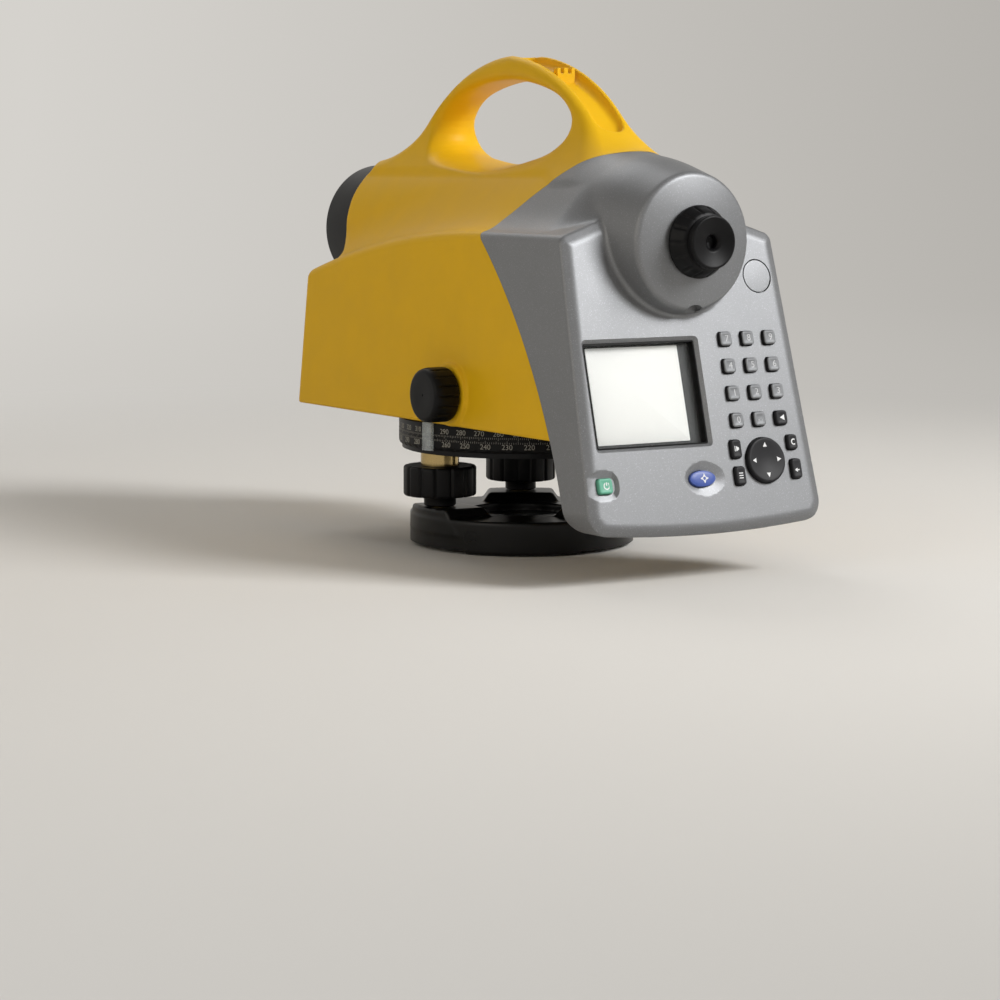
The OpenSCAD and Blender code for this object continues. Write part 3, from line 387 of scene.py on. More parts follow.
def softened(pts, count, reach):
    """A closed outline, evenly spaced and averaged with its neighbours, so that its arcs run into each other."""
    p = np.array(pts + pts[:1], float)
    run = np.concatenate([[0], np.cumsum(np.hypot(*np.diff(p, axis=0).T))])
    t = np.linspace(0, run[-1], count, endpoint=False)
    even = np.column_stack([np.interp(t, run, p[:, 0]), np.interp(t, run, p[:, 1])])
    total = sum(np.roll(even, k, 0) for k in range(-reach, reach + 1))
    return [tuple(q) for q in (total / (2 * reach + 1)).tolist()]


def outline_distance(pts, y, z):
    """Signed distance to a closed (y, z) outline, negative inside."""
    best, inside = np.inf, False
    for (y0, z0), (y1, z1) in zip(pts, pts[1:] + pts[:1]):
        ey, ez, wy, wz = y1 - y0, z1 - z0, y - y0, z - z0
        t = np.clip((wy * ey + wz * ez) / (ey * ey + ez * ez + 1e-9), 0, 1)
        best = np.minimum(best, (wy - ey * t) ** 2 + (wz - ez * t) ** 2)
        if abs(ez) > 1e-9:
            crossing = ((z0 > z) != (z1 > z)) & (wy < wz * ey / ez)
            inside = inside ^ crossing
    return np.where(inside, -1, 1) * np.sqrt(best)


def net(field, low, high, cell):
    """Mesh of field = 0, closed at the box: one vertex in each crossed cell, pulled onto the surface."""
    low = np.array(low, float)
    n = np.ceil((np.array(high) - low) / cell).astype(int) + 1
    g = [low[i] + cell * np.arange(n[i]) for i in range(3)]
    half = cell * (n - 1) / 2 - 1.5 * cell
    mid = low + cell * (n - 1) / 2

    def bounded(x, y, z):
        box = np.maximum(np.abs(x - mid[0]) - half[0], np.abs(y - mid[1]) - half[1])
        return np.maximum(field(x, y, z), np.maximum(box, np.abs(z - mid[2]) - half[2]))

    value = np.broadcast_to(bounded(g[0][:, None, None], g[1][None, :, None], g[2][None, None, :]), n)
    sign = value < 0
    corners = [(i, j, k) for i in (0, 1) for j in (0, 1) for k in (0, 1)]

    def shifted(a, c):
        return a[tuple(slice(c[i], a.shape[i] - 1 + c[i]) for i in range(3))]

    total = sum(shifted(sign, c).astype(np.int8) for c in corners)
    crossed = (total > 0) & (total < 8)
    cells = np.argwhere(crossed)
    index = np.full(crossed.shape, -1, np.int64)
    index[crossed] = np.arange(len(cells))
    place, weight = np.zeros((len(cells), 3)), np.zeros(len(cells))
    for a in corners:
        for i in range(3):
            if a[i]:
                continue
            b = tuple(a[j] + (j == i) for j in range(3))
            va, vb = value[tuple((cells + a).T)], value[tuple((cells + b).T)]
            hit = (va < 0) != (vb < 0)
            t = np.where(hit, va / np.where(hit, va - vb, 1), 0)
            p = cells + np.array(a) + t[:, None] * (np.array(b) - np.array(a))
            place[hit] += p[hit]
            weight[hit] += 1
    verts = low + cell * place / weight[:, None]
    h = 0.2  # reach of the slope measurement
    for _ in range(3):
        x, y, z = verts.T
        f = bounded(x, y, z)
        ahead = bounded(x + h, y, z), bounded(x, y + h, z), bounded(x, y, z + h)
        grad = np.stack([a - f for a in ahead], 1) / h
        move = -f[:, None] * grad / np.maximum((grad ** 2).sum(1), 0.2)[:, None]
        verts = verts + np.clip(move, -0.5 * cell, 0.5 * cell)
    faces = []
    for a in range(3):
        b, c = (a + 1) % 3, (a + 2) % 3
        lower = np.take(sign, range(n[a] - 1), a)
        edges = np.argwhere(lower != np.take(sign, range(1, n[a]), a))
        inner = (edges[:, b] > 0) & (edges[:, b] < n[b] - 1) & (edges[:, c] > 0) & (edges[:, c] < n[c] - 1)
        edges = edges[inner]
        eb, ec = np.eye(3, dtype=int)[b], np.eye(3, dtype=int)[c]
        quad = np.stack([index[tuple((edges - o).T)] for o in (0 * eb, eb, eb + ec, ec)], 1)
        out = lower[tuple(edges.T)]
        faces += quad[out].tolist() + quad[~out][:, ::-1].tolist()
    return verts, faces


# -------------------- shells
def barrel_r(y):
    """Radius of the barrel, which narrows towards the front."""
    return BARREL_R - BARREL_TAPER * (y - BARREL_REAR) / BARREL_RUN


# Outlines seen from the side, as (y, z) points.
PARTING_FOOT = -142.2
PARTING_TOP = -96
PARTING = (arc3((PARTING_FOOT, PANEL_LOW), (-136, 24), (-131.6, 29.5), 8)
           + arc3((-131.6, 29.5), (-106, 85), (-51.8, SHOULDER_Z), 48)[1:]
           + arc3((-52.4, 158), (-66, 173.6), (PARTING_TOP, 189.6), 40) + [(PARTING_TOP, 200)])
VISOR = [(110, 112), (112.3, 135), (112.6, 162), (113.6, 174), (116.4, 181.5), (119.5, 188)]
ARCH = ([(112, 178)] + arc3((109, 185), (92, 189.6), (75.5, 200.6), 10)
        + arc3((75.5, 200.6), (46, 222), (-3, CREST), 18)[1:]
        + arc3((-3, CREST), (-44, 223.6), (-74, 202), 18)[1:]
        + arc3((-74, 202), (-83, 195.2), (-96, 189), 8)[1:] + [(-106, 185), (-106, 178)])
EYE = softened(arc3((-40, 216.6), (0, CREST - 11.9), (42, 216.6), 14)
               + arc3((42, 216.6), (55.2, 208.4), (60.4, 200.4), 8)[1:]
               + arc3((60.4, 200.4), (58.6, 193.2), (48, 188.2), 8)[1:]
               + arc3((48, 188.2), (4, 183.3), (-37, 188.2), 12)[1:]
               + arc3((-37, 188.2), (-51.5, 193), (-59, 200.6), 8)[1:]
               + arc3((-59, 200.6), (-53, 209.4), (-40, 216.6), 8)[1:-1], 72, 2)
CHANNEL = ([(y, z - CHANNEL_DEPTH) for y, z in arc3((3, CREST), (-44, 223.6), (-74, 202), 18)]
           + [(-83, 193.5), (-88, CREST + 9), (3, CREST + 9)])
FRONT_REGION = PARTING + [(PARTING_TOP, 260), (150, 260), (150, 0), (PARTING_FOOT, 0)]
REAR_REGION = ([(-190, PANEL_LOW - 9), (PARTING_FOOT, PANEL_LOW - 9)] + PARTING
               + [(PARTING_TOP, 240), (-190, 240)])
BARREL_REGION = VISOR + [(119.5, 260), (-130, 260), (-130, 90), (110, 90)]
SEAM_HALF = 0.12  # half of the gap between the yellow and grey shells


def wall_distance(x, z):
    return (np.abs(x) - SHOULDER_HALF - (SHOULDER_Z - z) * DRAFT) * math.cos(math.atan(DRAFT))


def roof_distance(x, z, crease):
    return (np.abs(x) - SHOULDER_HALF) * math.sin(SLOPE) + (z - crease) * math.cos(SLOPE)


def panel_distance(y, z):
    return -(y - PANEL_Y) * math.cos(TILT) + (z - PANEL_Z) * math.sin(TILT)


def panel_edge_distance(x, z):
    return PANEL_LOW + PANEL_SAG * (x / PANEL_SAG_HALF) ** 2 - z


def ease(v, a, b):
    """0 up to a, 1 from b, smooth between."""
    t = np.clip((v - a) / (b - a), 0, 1)
    return t * t * (3 - 2 * t)


def handled(x, y, z, barrel):
    """The barrel with the looped handle: a rail that flares into the barrel, and a hole that widens to both sides."""
    rail = join(barrel, np.abs(x) - RAIL_HALF, RAIL_FLARE)
    drop = BARREL_R - np.sqrt(np.maximum(1, BARREL_R ** 2 - x * x))
    handle = trim(rail, outline_distance(ARCH, y, z + drop * ease(-y, 55, 88)), 5)
    handle = trim(handle, np.abs(x) - HANDLE_HALF, 1)
    hole = outline_distance(EYE, y - x * x / 60 * ease(y, 20, 50), z) - x * x / 140
    rounding = 1.2 + 3.3 * np.maximum(ease(z, 194, 207), ease(-y, 0, 45))
    return trim(join(barrel, handle, 2.5), -hole, rounding)


def yellow_field(x, y, z):
    crease = SHOULDER_Z - CREASE_DROP * (np.maximum(0, y - CREASE_FROM) / CREASE_RUN) ** 2
    front = (y - FRONT_Y + (z - BODY_LOW) * math.tan(FRONT_LEAN)) * math.cos(FRONT_LEAN)
    body = trim(wall_distance(x, z), roof_distance(x, z, crease), 3)
    body = trim(trim(body, front, 4), BODY_LOW - z, 1.2)
    barrel = np.hypot(x, z - AXIS) - barrel_r(y)
    top = trim(handled(x, y, z, barrel), outline_distance(BARREL_REGION, y, z), 1.2)
    shell = join(body, top, 15)
    boss = trim(np.hypot(y - WORM_Y, z - WORM_Z) - WORM_BOSS_R, np.abs(x) - WORM_BOSS_X, 1.2)
    shell = join(shell, boss, 1.5)
    boss = trim(np.hypot(y - FOCUS_Y, z - FOCUS_Z) - FOCUS_BOSS_R, x - FOCUS_BOSS_X, 1.2)
    shell = join(shell, np.maximum(boss, 45 - x), 1.5)
    across = np.hypot(x, np.maximum(0, CHANNEL_END - y)) - CHANNEL_HALF
    return trim(shell, -trim(outline_distance(CHANNEL, y, z), across, 4), 1.2)


def grey_field(x, y, z):
    panel = panel_distance(y, z)
    low = panel_edge_distance(x, z)
    side = trim(wall_distance(x, z), low, 9.5)
    side = trim(side, roof_distance(x, z, SHOULDER_Z), 3)
    side_bevel = panel * 0.899 + side * 0.438 + 1.9
    low_bevel = panel * 0.766 + low * 0.643 + 2.5
    body = trim(trim(side, panel, 0.6), side_bevel, 0.6)
    body = trim(body, low_bevel, 0.6)
    rho = np.hypot(x, z - AXIS)
    cone = TURRET_R + (y - TURRET_FACE) * (barrel_r(TURRET_FOOT) - TURRET_R) / (TURRET_FOOT - TURRET_FACE)
    line = barrel_r(y)
    blend = np.clip(0.5 + 0.5 * (line - cone) / TURRET_BLEND, 0, 1)
    radius = line + (cone - line) * blend - TURRET_BLEND * blend * (1 - blend)
    face = np.hypot(rho, y - (TURRET_FACE - 0.8 + TURRET_DOME)) - TURRET_DOME
    top = trim(handled(x, y, z, (rho - radius) * 0.97), face, 1.6)
    return join(body, top, 1.8 + 13.2 * ease(y, -119, -96))


def grey_hollow(x, y, z):
    inner = np.maximum(wall_distance(x, z) + WALL, roof_distance(x, z, SHOULDER_Z) + WALL)
    inner = np.maximum(np.maximum(inner, panel_distance(y, z) + WALL), panel_edge_distance(x, z) + WALL)
    back = outline_distance(REAR_REGION, y, z) + WALL
    return np.maximum(inner, np.where(z < 70, back, -50))


def cylinder(axis, r, a, b, p, q, n=64):
    """A plain cutter: axis x, y or z, radius, from a to b, at the two other coordinates."""
    t = np.arange(n) * 2 * np.pi / n
    c, s = p + r * np.cos(t), q + r * np.sin(t)
    place = "xyz".index(axis)
    rings = []
    for h in (a, b):
        columns = [c, s]
        columns.insert(place, np.full(n, h))
        rings.append(np.column_stack(columns))
    return loft(rings)


def through_panel(u, v, o, low, high):
    """A straight cutter through the panel with outline o."""
    return panel_loft(u, v, [(o, low), (o, high)])


def screw_slot():
    """Cutter for the screw slot under the turret's rim."""
    o = oval(8.4, 4.4, 32)
    return loft([np.column_stack([o[:, 0] + 1.5, np.full(32, y), o[:, 1] + 119.8]) for y in (-152, -133)])


KEY_GRID = (("7", "8", "9"), ("4", "5", "6"), ("1", "2", "3"), ("0", "point", "back"))
KEY_PLACES = {"key_" + k: (KEY_COL + i * KEY_PITCH, KEY_ROW - j * KEY_PITCH, KEY_W, KEY_W)
              for j, row in enumerate(KEY_GRID) for i, k in enumerate(row)}
SIDE_KEYS = {"key_star": (18.44, 55.7, 5.4, 8.4), "key_func": (18.74, 43.5, 5.4, 8.4),
             "key_alpha": (50.54, 57.2, 5.4, 6.8), "key_enter": (50.84, 45, 5.4, 9)}
KEY_PLACES.update(SIDE_KEYS)
KEY_PLACES["key_power"] = (-53.8, 43.4, 7.4, 6.9)

NET = 0.95  # cell size of the large shells
HOLLOW_NET, BASE_NET = 2.0, 0.9
ROOMS = (((-56, -140, 65.5), (56, 98, 128)), ((-53.5, -140, 127), (53.5, 0, 143)),
         ((-58.5, -96, 60), (58.5, 101, 65.5)))


def main_shell():
    obj = make("main_shell", *net(yellow_field, (-68, -123, 58), (68, 124, 240), NET))
    cut(obj, [x_prism([(y + SEAM_HALF, z) for y, z in FRONT_REGION], -CUT_HALF, CUT_HALF)], 'INTERSECT')
    cut(obj, [block(*room) for room in ROOMS] + [
        cylinder("y", BORE_R, -125, 140, 0, AXIS, 96), cylinder("y", SUNSHADE_R + 0.1, 86, 145, 0, AXIS, 128),
        cylinder("x", SHAFT_BORE_R, -80, 80, WORM_Y, WORM_Z), cylinder("x", SHAFT_BORE_R, 40, 80, FOCUS_Y, FOCUS_Z),
        cylinder("x", TRIGGER_BORE_R, 40, 80, TRIGGER_Y, TRIGGER_Z),
        x_prism(outline(56.5, 43, 1.5) + (BATTERY_Y, BATTERY_Z), 40, 80)])
    dress(obj, "instrument", "yellow_shell", "main_housing", sharp=38)


def rear_shell():
    obj = make("rear_shell", *net(grey_field, (-68, -162, 16), (68, -40, 194), NET))
    cut(obj, [make("hollow", *net(grey_hollow, (-66, -162, 18), (66, -38, 166), HOLLOW_NET))])
    cut(obj, [x_prism([(y - SEAM_HALF, z) for y, z in REAR_REGION], -CUT_HALF, CUT_HALF)], 'INTERSECT')
    holes = [cylinder("y", 12.3, -160, -90, 0, AXIS), cylinder("y", BORE_R, -122, -30, 0, AXIS, 96),
             cylinder("z", 9.1, 139, 172, LEVEL_X, LEVEL_Y)]
    w, h = SCREEN_W, SCREEN_H
    opening = outline(w + 0.4, h + 0.4, 1.0)
    holes.append(panel_loft(SCREEN_U, SCREEN_V, [(opening, -9), (opening, -1.5), (outline(w + 3.4, h + 3.4, 2.2), 0.02),
                                                 (outline(w + 5.4, h + 5.4, 3), 1)]))
    for u, v, kw, kh in KEY_PLACES.values():
        holes.append(through_panel(u, v, outline(kw + KEY_GAP, kh + KEY_GAP, KEY_CORNER), -8, 4))
    holes.append(panel_loft(-0.1, 43.5, [(oval(14.9, 8.3), -1.35), (oval(21.7, 15.2), 0.02), (oval(26, 19.5), 0.9)]))
    holes.append(through_panel(MEASURE_U, MEASURE_V, oval(14.8, 7.9), -8, 3))
    holes.append(through_panel(ARROWS_U, ARROWS_V, oval(21.5, 21.5, 72), -8, 4))
    holes.append(panel_loft(-64.7, 43.5, [(outline(33, 8.0, 3.0), -1.6), (outline(36.2, 13, 5.4), 0.02),
                                          (outline(38.2, 15.5, 6.5), 1.2)]))
    holes.append(through_panel(COVER_U, COVER_V, oval(15.9, 15.9, 64), -1.9, 3))
    holes.append(screw_slot())
    cut(obj, holes)
    dress(obj, "instrument", "grey_shell", "rear_housing", sharp=38)


# -------------------- printed marks
PRINT_HALF = 0.02  # half the thickness of a printed mark


def glyph(text, size):
    """A thin raised print of digits, centred, as flat (x, y, thickness) points."""
    curve = bpy.data.curves.new("print", 'FONT')
    curve.body, curve.size, curve.extrude = text, size, PRINT_HALF
    curve.align_x, curve.align_y = 'CENTER', 'CENTER'
    curve.resolution_u = 4
    obj = bpy.data.objects.new("print", curve)
    bpy.context.scene.collection.objects.link(obj)
    mesh = bpy.data.meshes.new_from_object(obj.evaluated_get(bpy.context.evaluated_depsgraph_get()))
    verts = np.array([v.co for v in mesh.vertices])
    faces = [tuple(p.vertices) for p in mesh.polygons]
    bpy.data.objects.remove(obj)
    bpy.data.meshes.remove(mesh)
    return verts, faces


def shape(pts):
    """A thin raised print of a plain outline."""
    p = np.asarray(pts, float)
    return loft([np.column_stack([p, np.full(len(p), z)]) for z in (-PRINT_HALF, PRINT_HALF)])


def arc_band(r0, r1, a0, a1, n=24):
    """A printed band between two radii and two angles."""
    t = np.radians(np.linspace(a0, a1, n))
    return shape(np.concatenate([np.column_stack([r1 * np.cos(t), r1 * np.sin(t)]),
                                 np.column_stack([r0 * np.cos(t), r0 * np.sin(t)])[::-1]]))


def triangle(size, angle):
    """A printed arrow head that points at this angle."""
    t = np.radians([angle, angle + 125, angle - 125])
    return shape(np.column_stack([size * np.cos(t), size * np.sin(t)]))


def bar(x0, y0, x1, y1):
    return shape([(x0, y0), (x1, y0), (x1, y1), (x0, y1)])


def gather(parts):
    """Several (verts, faces) as one."""
    verts, faces, base = [], [], 0
    for v, f in parts:
        verts.append(np.asarray(v))
        faces += [tuple(base + i for i in face) for face in f]
        base += len(v)
    return np.concatenate(verts), faces


def moved(part, dx, dy):
    return np.asarray(part[0]) + (dx, dy, 0), part[1]


def four_arrows(size, r):
    """Arrow heads that point outwards on a circle."""
    return [moved(triangle(size, a), *polar(r, a)) for a in (0, 90, 180, 270)]


def on_key(parts, u, v, w):
    verts, faces = gather(parts)
    return on_panel(verts + (u, v, w)), faces


KEY_MARKS = {
    "key_point": lambda: [moved(arc_band(0, 0.4, 0, 359, 12), -1.1, -0.6),
                          moved(bar(-0.3, -1.0, 0.25, 0.3), 1.2, -0.4)],
    "key_back": lambda: [triangle(1.6, 180)],
    "key_star": lambda: [triangle(1.5, 0), bar(-1.9, -1.2, -1.3, 1.2)],
    "key_func": lambda: [bar(-1.6, y - 0.22, 1.6, y + 0.22) for y in (-1.1, 0, 1.1)],
    "key_alpha": lambda: [arc_band(0.9, 1.45, 0, 359), bar(1.2, -1.5, 1.7, 1.5)],
    "key_enter": lambda: [bar(-0.9, -1.0, 1.5, -0.5), bar(1.0, -1.0, 1.5, 1.6),
                          moved(triangle(1.1, 180), -1.0, -0.75)],
    "key_power": lambda: [arc_band(1.15, 1.65, 120, 420), bar(-0.25, 0.2, 0.25, 1.9)],
}


# -------------------- keys, screen and level
def key_cap(name, w, h, u, v, top, slot):
    """A key with rounded top edges and a shallow dish. Number keys get painted shade: their side walls take the dark
    key colour.
    """
    foot = outline(w, h, KEY_CORNER)
    levels = [(foot, KEY_FOOT), (foot, top - KEY_ROUND)]
    for k in (30, 60, 90):
        d = KEY_ROUND * (1 - math.cos(math.radians(k)))
        ring = outline(w - 2 * d, h - 2 * d, max(0.3, KEY_CORNER - d))
        levels.append((ring, top - KEY_ROUND * (1 - math.sin(math.radians(k)))))
    inner = levels[-1][0]
    levels += [(inner * 0.8, top - KEY_DISH * 0.5), (inner * 0.5, top - KEY_DISH), (inner * 0.1, top - KEY_DISH)]
    obj = dress(make(name + "_cap", *panel_loft(u, v, levels)), name + "_body", slot, name)
    # painted shade: the side walls of number keys take the dark key colour, for the shade in the gap round each key
    if slot == "number_key":
        obj.data.materials.append(MATERIALS["dark_key"])
        for face in obj.data.polygons:
            outwards = face.normal.z * math.sin(TILT) - face.normal.y * math.cos(TILT)
            face.material_index = 0 if abs(outwards) > 0.45 else 1


def key_slot(name):
    if name == "key_power":
        return "green_key"
    return "dark_key" if name == "key_back" or name in SIDE_KEYS else "number_key"


def dish_height(r):
    """Height of the arrow pad's dish above the panel at a radius."""
    return 1.3 + max(0, r - 2) * 1.0 / 7.2


def keys():
    for name, (u, v, w, h) in KEY_PLACES.items():
        slot = key_slot(name)
        top = POWER_PROUD if name == "key_power" else KEY_PROUD
        key_cap(name, w, h, u, v, top, slot)
        marks = KEY_MARKS[name]() if name in KEY_MARKS else [glyph(name[-1], 4.3)]
        mark = make(name + "_mark", *on_key(marks, u + 0.5, v, top - 0.22))
        dress(mark, name + "_body", slot, look=DIGITS if slot == "number_key" else PRINT)
    levels = [(oval(14.2, 7.3), KEY_FOOT), (oval(14.2, 7.3), -0.3), (oval(13.8, 6.9), 0.1), (oval(12.8, 6.0), 0.32),
              (oval(9, 4), 0.45), (oval(2, 1), 0.5)]
    cap = make("key_measure_cap", *panel_loft(MEASURE_U, MEASURE_V, levels))
    dress(cap, "key_measure_body", "blue_key", "key_measure")
    star = [arc_band(0.75, 1.15, 0, 359)] + four_arrows(0.75, 1.55)
    mark = make("key_measure_mark", *on_key(star, MEASURE_U + 0.6, MEASURE_V, 0.51))
    dress(mark, "key_measure_body", "blue_key", look=PRINT)
    d = 2 * ARROWS_R
    rim = [(d, KEY_FOOT), (d, 1.5), (d - 0.4, 1.95), (d - 1.2, 2.25), (d - 2, 2.3), (d - 2.6, 2.28)]
    rim += [(w, dish_height(w / 2)) for w in (16.4, 13, 9, 5, 1)]
    cap = make("key_arrows_cap", *panel_loft(ARROWS_U, ARROWS_V, [(oval(w, w, 72), top) for w, top in rim]))
    dress(cap, "key_arrows_body", "dark_key", "key_arrows")
    verts, faces = gather(four_arrows(1.35, 6.7))
    verts[:, 2] += [dish_height(r) + 0.03 for r in np.hypot(verts[:, 0], verts[:, 1])]
    mark = make("key_arrows_mark", on_panel(verts + (ARROWS_U, ARROWS_V, 0)), faces)
    dress(mark, "key_arrows_body", "dark_key", look=PRINT)


def screen():
    w, h, floor = SCREEN_W, SCREEN_H, -SCREEN_DEPTH
    rim = [(outline(w + 0.2, h + 0.2, 0.9), -9.7), (outline(w + 0.2, h + 0.2, 0.9), -1.6),
           (outline(w - 1.0, h - 1.0, 0.6), -1.5), (outline(w - 1.4, h - 1.4, 0.5), floor - 0.3),
           (outline(8, 8, 0.5), floor - 0.3)]
    dress(make("screen_frame", *panel_loft(SCREEN_U, SCREEN_V, rim)), "instrument", "screen", "display_module")
    sheet = outline(LCD_W, LCD_H, 0.5)
    face = [(sheet, floor - 0.4), (sheet, floor - 0.08), (outline(LCD_W - 0.3, LCD_H - 0.3, 0.5), floor)]
    dress(make("screen_face", *panel_loft(LCD_U, LCD_V, face)), "instrument", "screen", look=LCD)
    disc = [(15.0, -1.85), (15.0, -0.25), (14.6, 0.0), (13, 0.05)]
    cover = [(oval(d, d, 64), top) for d, top in disc]
    dress(make("level_cover_disc", *panel_loft(COVER_U, COVER_V, cover)), "instrument", "grey_shell", "level_cover")


def level():
    at = upright(LEVEL_X, LEVEL_Y)
    vial = ([(0, 140), (9, 140), (9, 149.6)] + corner(8, 149.6, 1, 0, 90)[1:]
            + [(5, 151.3), (2.5, 151.7), (0, 151.8)])
    dress(make("level_vial", *turned(vial, at, 64)), "instrument", "glass", "circular_level", look=VIAL)
    bubble = [(0, 151.4), (2.2, 151.5), (2.0, 151.78), (1.2, 151.9), (0, 151.95)]
    dress(make("level_bubble", *turned(bubble, at, 40)), "instrument", "glass", look=BUBBLE)
    ring = [(3.1, 151.5), (3.5, 151.45), (3.5, 151.72), (3.1, 151.78)]
    dress(make("level_ring", *turned(ring, at, 48, closed=True)), "instrument", "black_plastic")


# -------------------- knobs, telescope and base
def knob(name, prof, at, flutes, fineness, width, body, node, closed=True):
    """A fluted knob from its profile, with so many points to each flute."""
    grip = make(name + "_grip", *turned(prof, at, flutes * fineness, flutes, width, closed=closed))
    dress(grip, body, "black_plastic", node, sharp=40)


def foot_knobs():
    for name, a in FEET.items():
        prof = ([(4.6, 20.6), (7.2, 20.6), (7.7, 21.1), (7.7, 24.6), (8.4, 25.5), (14.8, 25.5, 0.2)]
                + corner(16.2, 26.8, 1.3, -90, 0, 0.9) + corner(16.2, 38.7, 1.3, 0, 90, 0.9)
                + [(14.4, 40, 0.2), (12.5, 39.7), (10, 39.7), (4.6, 39.7)])
        node = "foot_knob_" + name
        knob(node, prof, upright(*polar(FOOT_CIRCLE, a)), 14, 16, 0.34, "foot_" + name, node)


def side_knobs():
    for side, name in ((-1, "left"), (1, "right")):
        prof = ([(3.1, 64.2), (11.6, 64.2), (12.4, 64.9), (12.8, 66, 0.75), (12.8, 73.4, 0.75), (12.7, 74.4, 0.5),
                 (12.45, 75.4, 0.1)] + corner(10.4, 75.5, 2.0, 12, 90)[1:]
                + [(6, 77.3), (0.5, 77.2), (0.5, 71), (3.1, 71)])
        node = "tangent_knob_" + name
        knob(node, prof, sideways(side, WORM_Y, WORM_Z), 16, 16, 0.3, "tangent", node)
    prof = ([(0, -9), (3, -9), (3, 62.7), (15.6, 62.7), (16.6, 63.4), (17, 64.4, 0.8), (17, 73.6, 0.8),
             (16.9, 74.8, 0.5), (16.6, 75.6, 0.1)] + corner(14.9, 75.7, 1.7, 8, 90)[1:]
            + [(11, 77.3), (10.4, 76.7), (4, 76.5), (0, 76.5)])
    at = sideways(1, FOCUS_Y, FOCUS_Z)
    knob("focus_knob", prof, at, 20, 14, 0.32, "focus_drive", "focus_knob", closed=False)
    prof = ([(0, 53.3), (7.9, 53.3), (7.9, 55.8), (6.5, 55.8), (6.5, 62.4)] + corner(5.6, 62.4, 0.9, 0, 90)[1:]
            + [(3, 63.1), (0, 62.9)])
    cap = make("trigger_cap", *turned(prof, sideways(1, TRIGGER_Y, TRIGGER_Z), 64))
    dress(cap, "trigger", "black_plastic", "trigger_button")


def battery():
    def rings(levels, y, z):
        return [np.column_stack([np.full(28, x), outline(w, h, r) + (y, z)]) for w, h, r, x in levels]

    case = [(56 - 3.4, 42.3 - 3.4, 0.8, 16), (56 - 0.6, 42.3 - 0.6, 1.0, 17.4), (55.8, 42.2, 1.4, 61.6),
            (55.2, 41.6, 1.4, 62.5), (54.0, 40.4, 1.2, 63.0)]
    grip = [(15, 4.6, 2.4, 61.4), (18, 6, 2.4, 62.8), (19, 7, 2.4, 63.4)]
    obj = make("battery_case", *loft(rings(case, BATTERY_Y, BATTERY_Z)))
    cut(obj, [loft(rings(grip, BATTERY_Y, 101))])
    dress(obj, "battery", "black_plastic", "battery_pack", sharp=12)


def telescope():
    ridges = []
    for k in range(9):
        y = 110 + k * 2.9
        r = 24.2 + (y - 108) * 0.165
        ridges += [(r, y), (r + 0.1, y + 1.6), (r + 0.75, y + 1.7), (r + 0.85, y + 2.8)]
    prof = ([(24.2, 96), (24.2, 108)] + ridges + [(29.2, 136.8)]
            + corner(30.2, SUNSHADE_FRONT - 1, 1, 180, 90)[1:]
            + corner(31.3, SUNSHADE_FRONT - 1.1, 1.1, 90, 0) + [(SUNSHADE_R, 96)])
    tube = make("sunshade_tube", *turned(prof, FORWARD, 160, closed=True))
    dress(tube, "instrument", "black_plastic", "sunshade")
    c = -TURRET_FACE
    prof = ([(12.0, 127), (12.0, c + 0.6), (15.3, c + 0.6)] + corner(15.6, c + 1.3, 0.6, -60, 30)
            + [(16.2, c + 2.2), (15.7, c + 2.9, 0.6), (14.6, c + 5.4, 0.6), (13.4, c + 7.9, 0.55),
               (12.7, c + 8.5, 0.1), (11.6, c + 8.9), (11.6, c + 9.3), (11.9, c + 9.6), (11.9, c + 12.0)]
            + corner(11.0, 152.7, 0.9, 10, 90)[1:]
            + [(10.5, 153.56), (10.1, 153.25), (4.6, 153.1), (4.1, 152.9), (3.0, 151.7), (2.8, 150.9),
               (2.8, 150.2), (9.2, 150.1), (9.54, 127)])
    knob("dioptre", prof, BACKWARD, 14, 16, 0.3, "dioptre", "dioptre_ring")


def bent(part, angle, z):
    """A flat print laid round the circle."""
    v = np.asarray(part[0])
    t = np.radians(angle) + v[:, 0] / CIRCLE_R
    r = CIRCLE_R + 0.03 + v[:, 2]
    return np.column_stack([r * np.cos(t), r * np.sin(t), z + v[:, 1]]), part[1]


def tick(n):
    """Length of the n-th line of a scale."""
    return 1.5 if n % 10 == 0 else 1.15 if n % 5 == 0 else 0.8


def circle():
    """The circle with two scales: degrees below, 400 parts to the turn above."""
    prof = ([(57.25, 49), (58.8, 49), (58.8, 49.15), (59.1, 49.05, 0.5), (59.6, 49.4, 0.6), (59.95, 50.2, 0.25),
             (60, 50.7), (60, 61.4)] + corner(59.5, 61.4, 0.5, 0, 90)[1:] + [(57.25, 61.9)])
    band = make("circle_band", *turned(prof, upright(0, 0), 480, 60, 0.5, closed=True))
    dress(band, "circle", "black_plastic", "circle_ring")
    digits, half, part = 3.5, 0.09, 0.9
    marks = [bent(glyph(str(d), digits), CIRCLE_ZERO - d, 52.05) for d in range(0, 360, 10)]
    marks += [bent(glyph(str(g), digits), CIRCLE_ZERO - part * g, 58.2) for g in range(0, 400, 10)]
    marks += [bent(bar(-half, 0, half, tick(d)), CIRCLE_ZERO - d, 53.6) for d in range(360)]
    marks += [bent(bar(-half, -tick(g), half, 0), CIRCLE_ZERO - part * g, 56.6) for g in range(400)]
    dress(make("circle_scale", *gather(marks)), "circle", "black_plastic", look=DIM_PRINT)
    middle, rings = math.radians(190), []
    for along, inset in ((-3.2, 0.35), (-2.7, 0.0), (2.7, 0.0), (3.2, 0.35)):
        a, front = middle + along / 61, 62.3 - inset
        rings.append(np.array([(r * math.cos(a), r * math.sin(a), z) for r, z in
                               ((60.4, 48.6), (front, 48.9), (front, 62.3), (60.4, 62.5))]))
    dress(make("circle_reader", *loft(rings)), "instrument", "glass", "circle_magnifier")


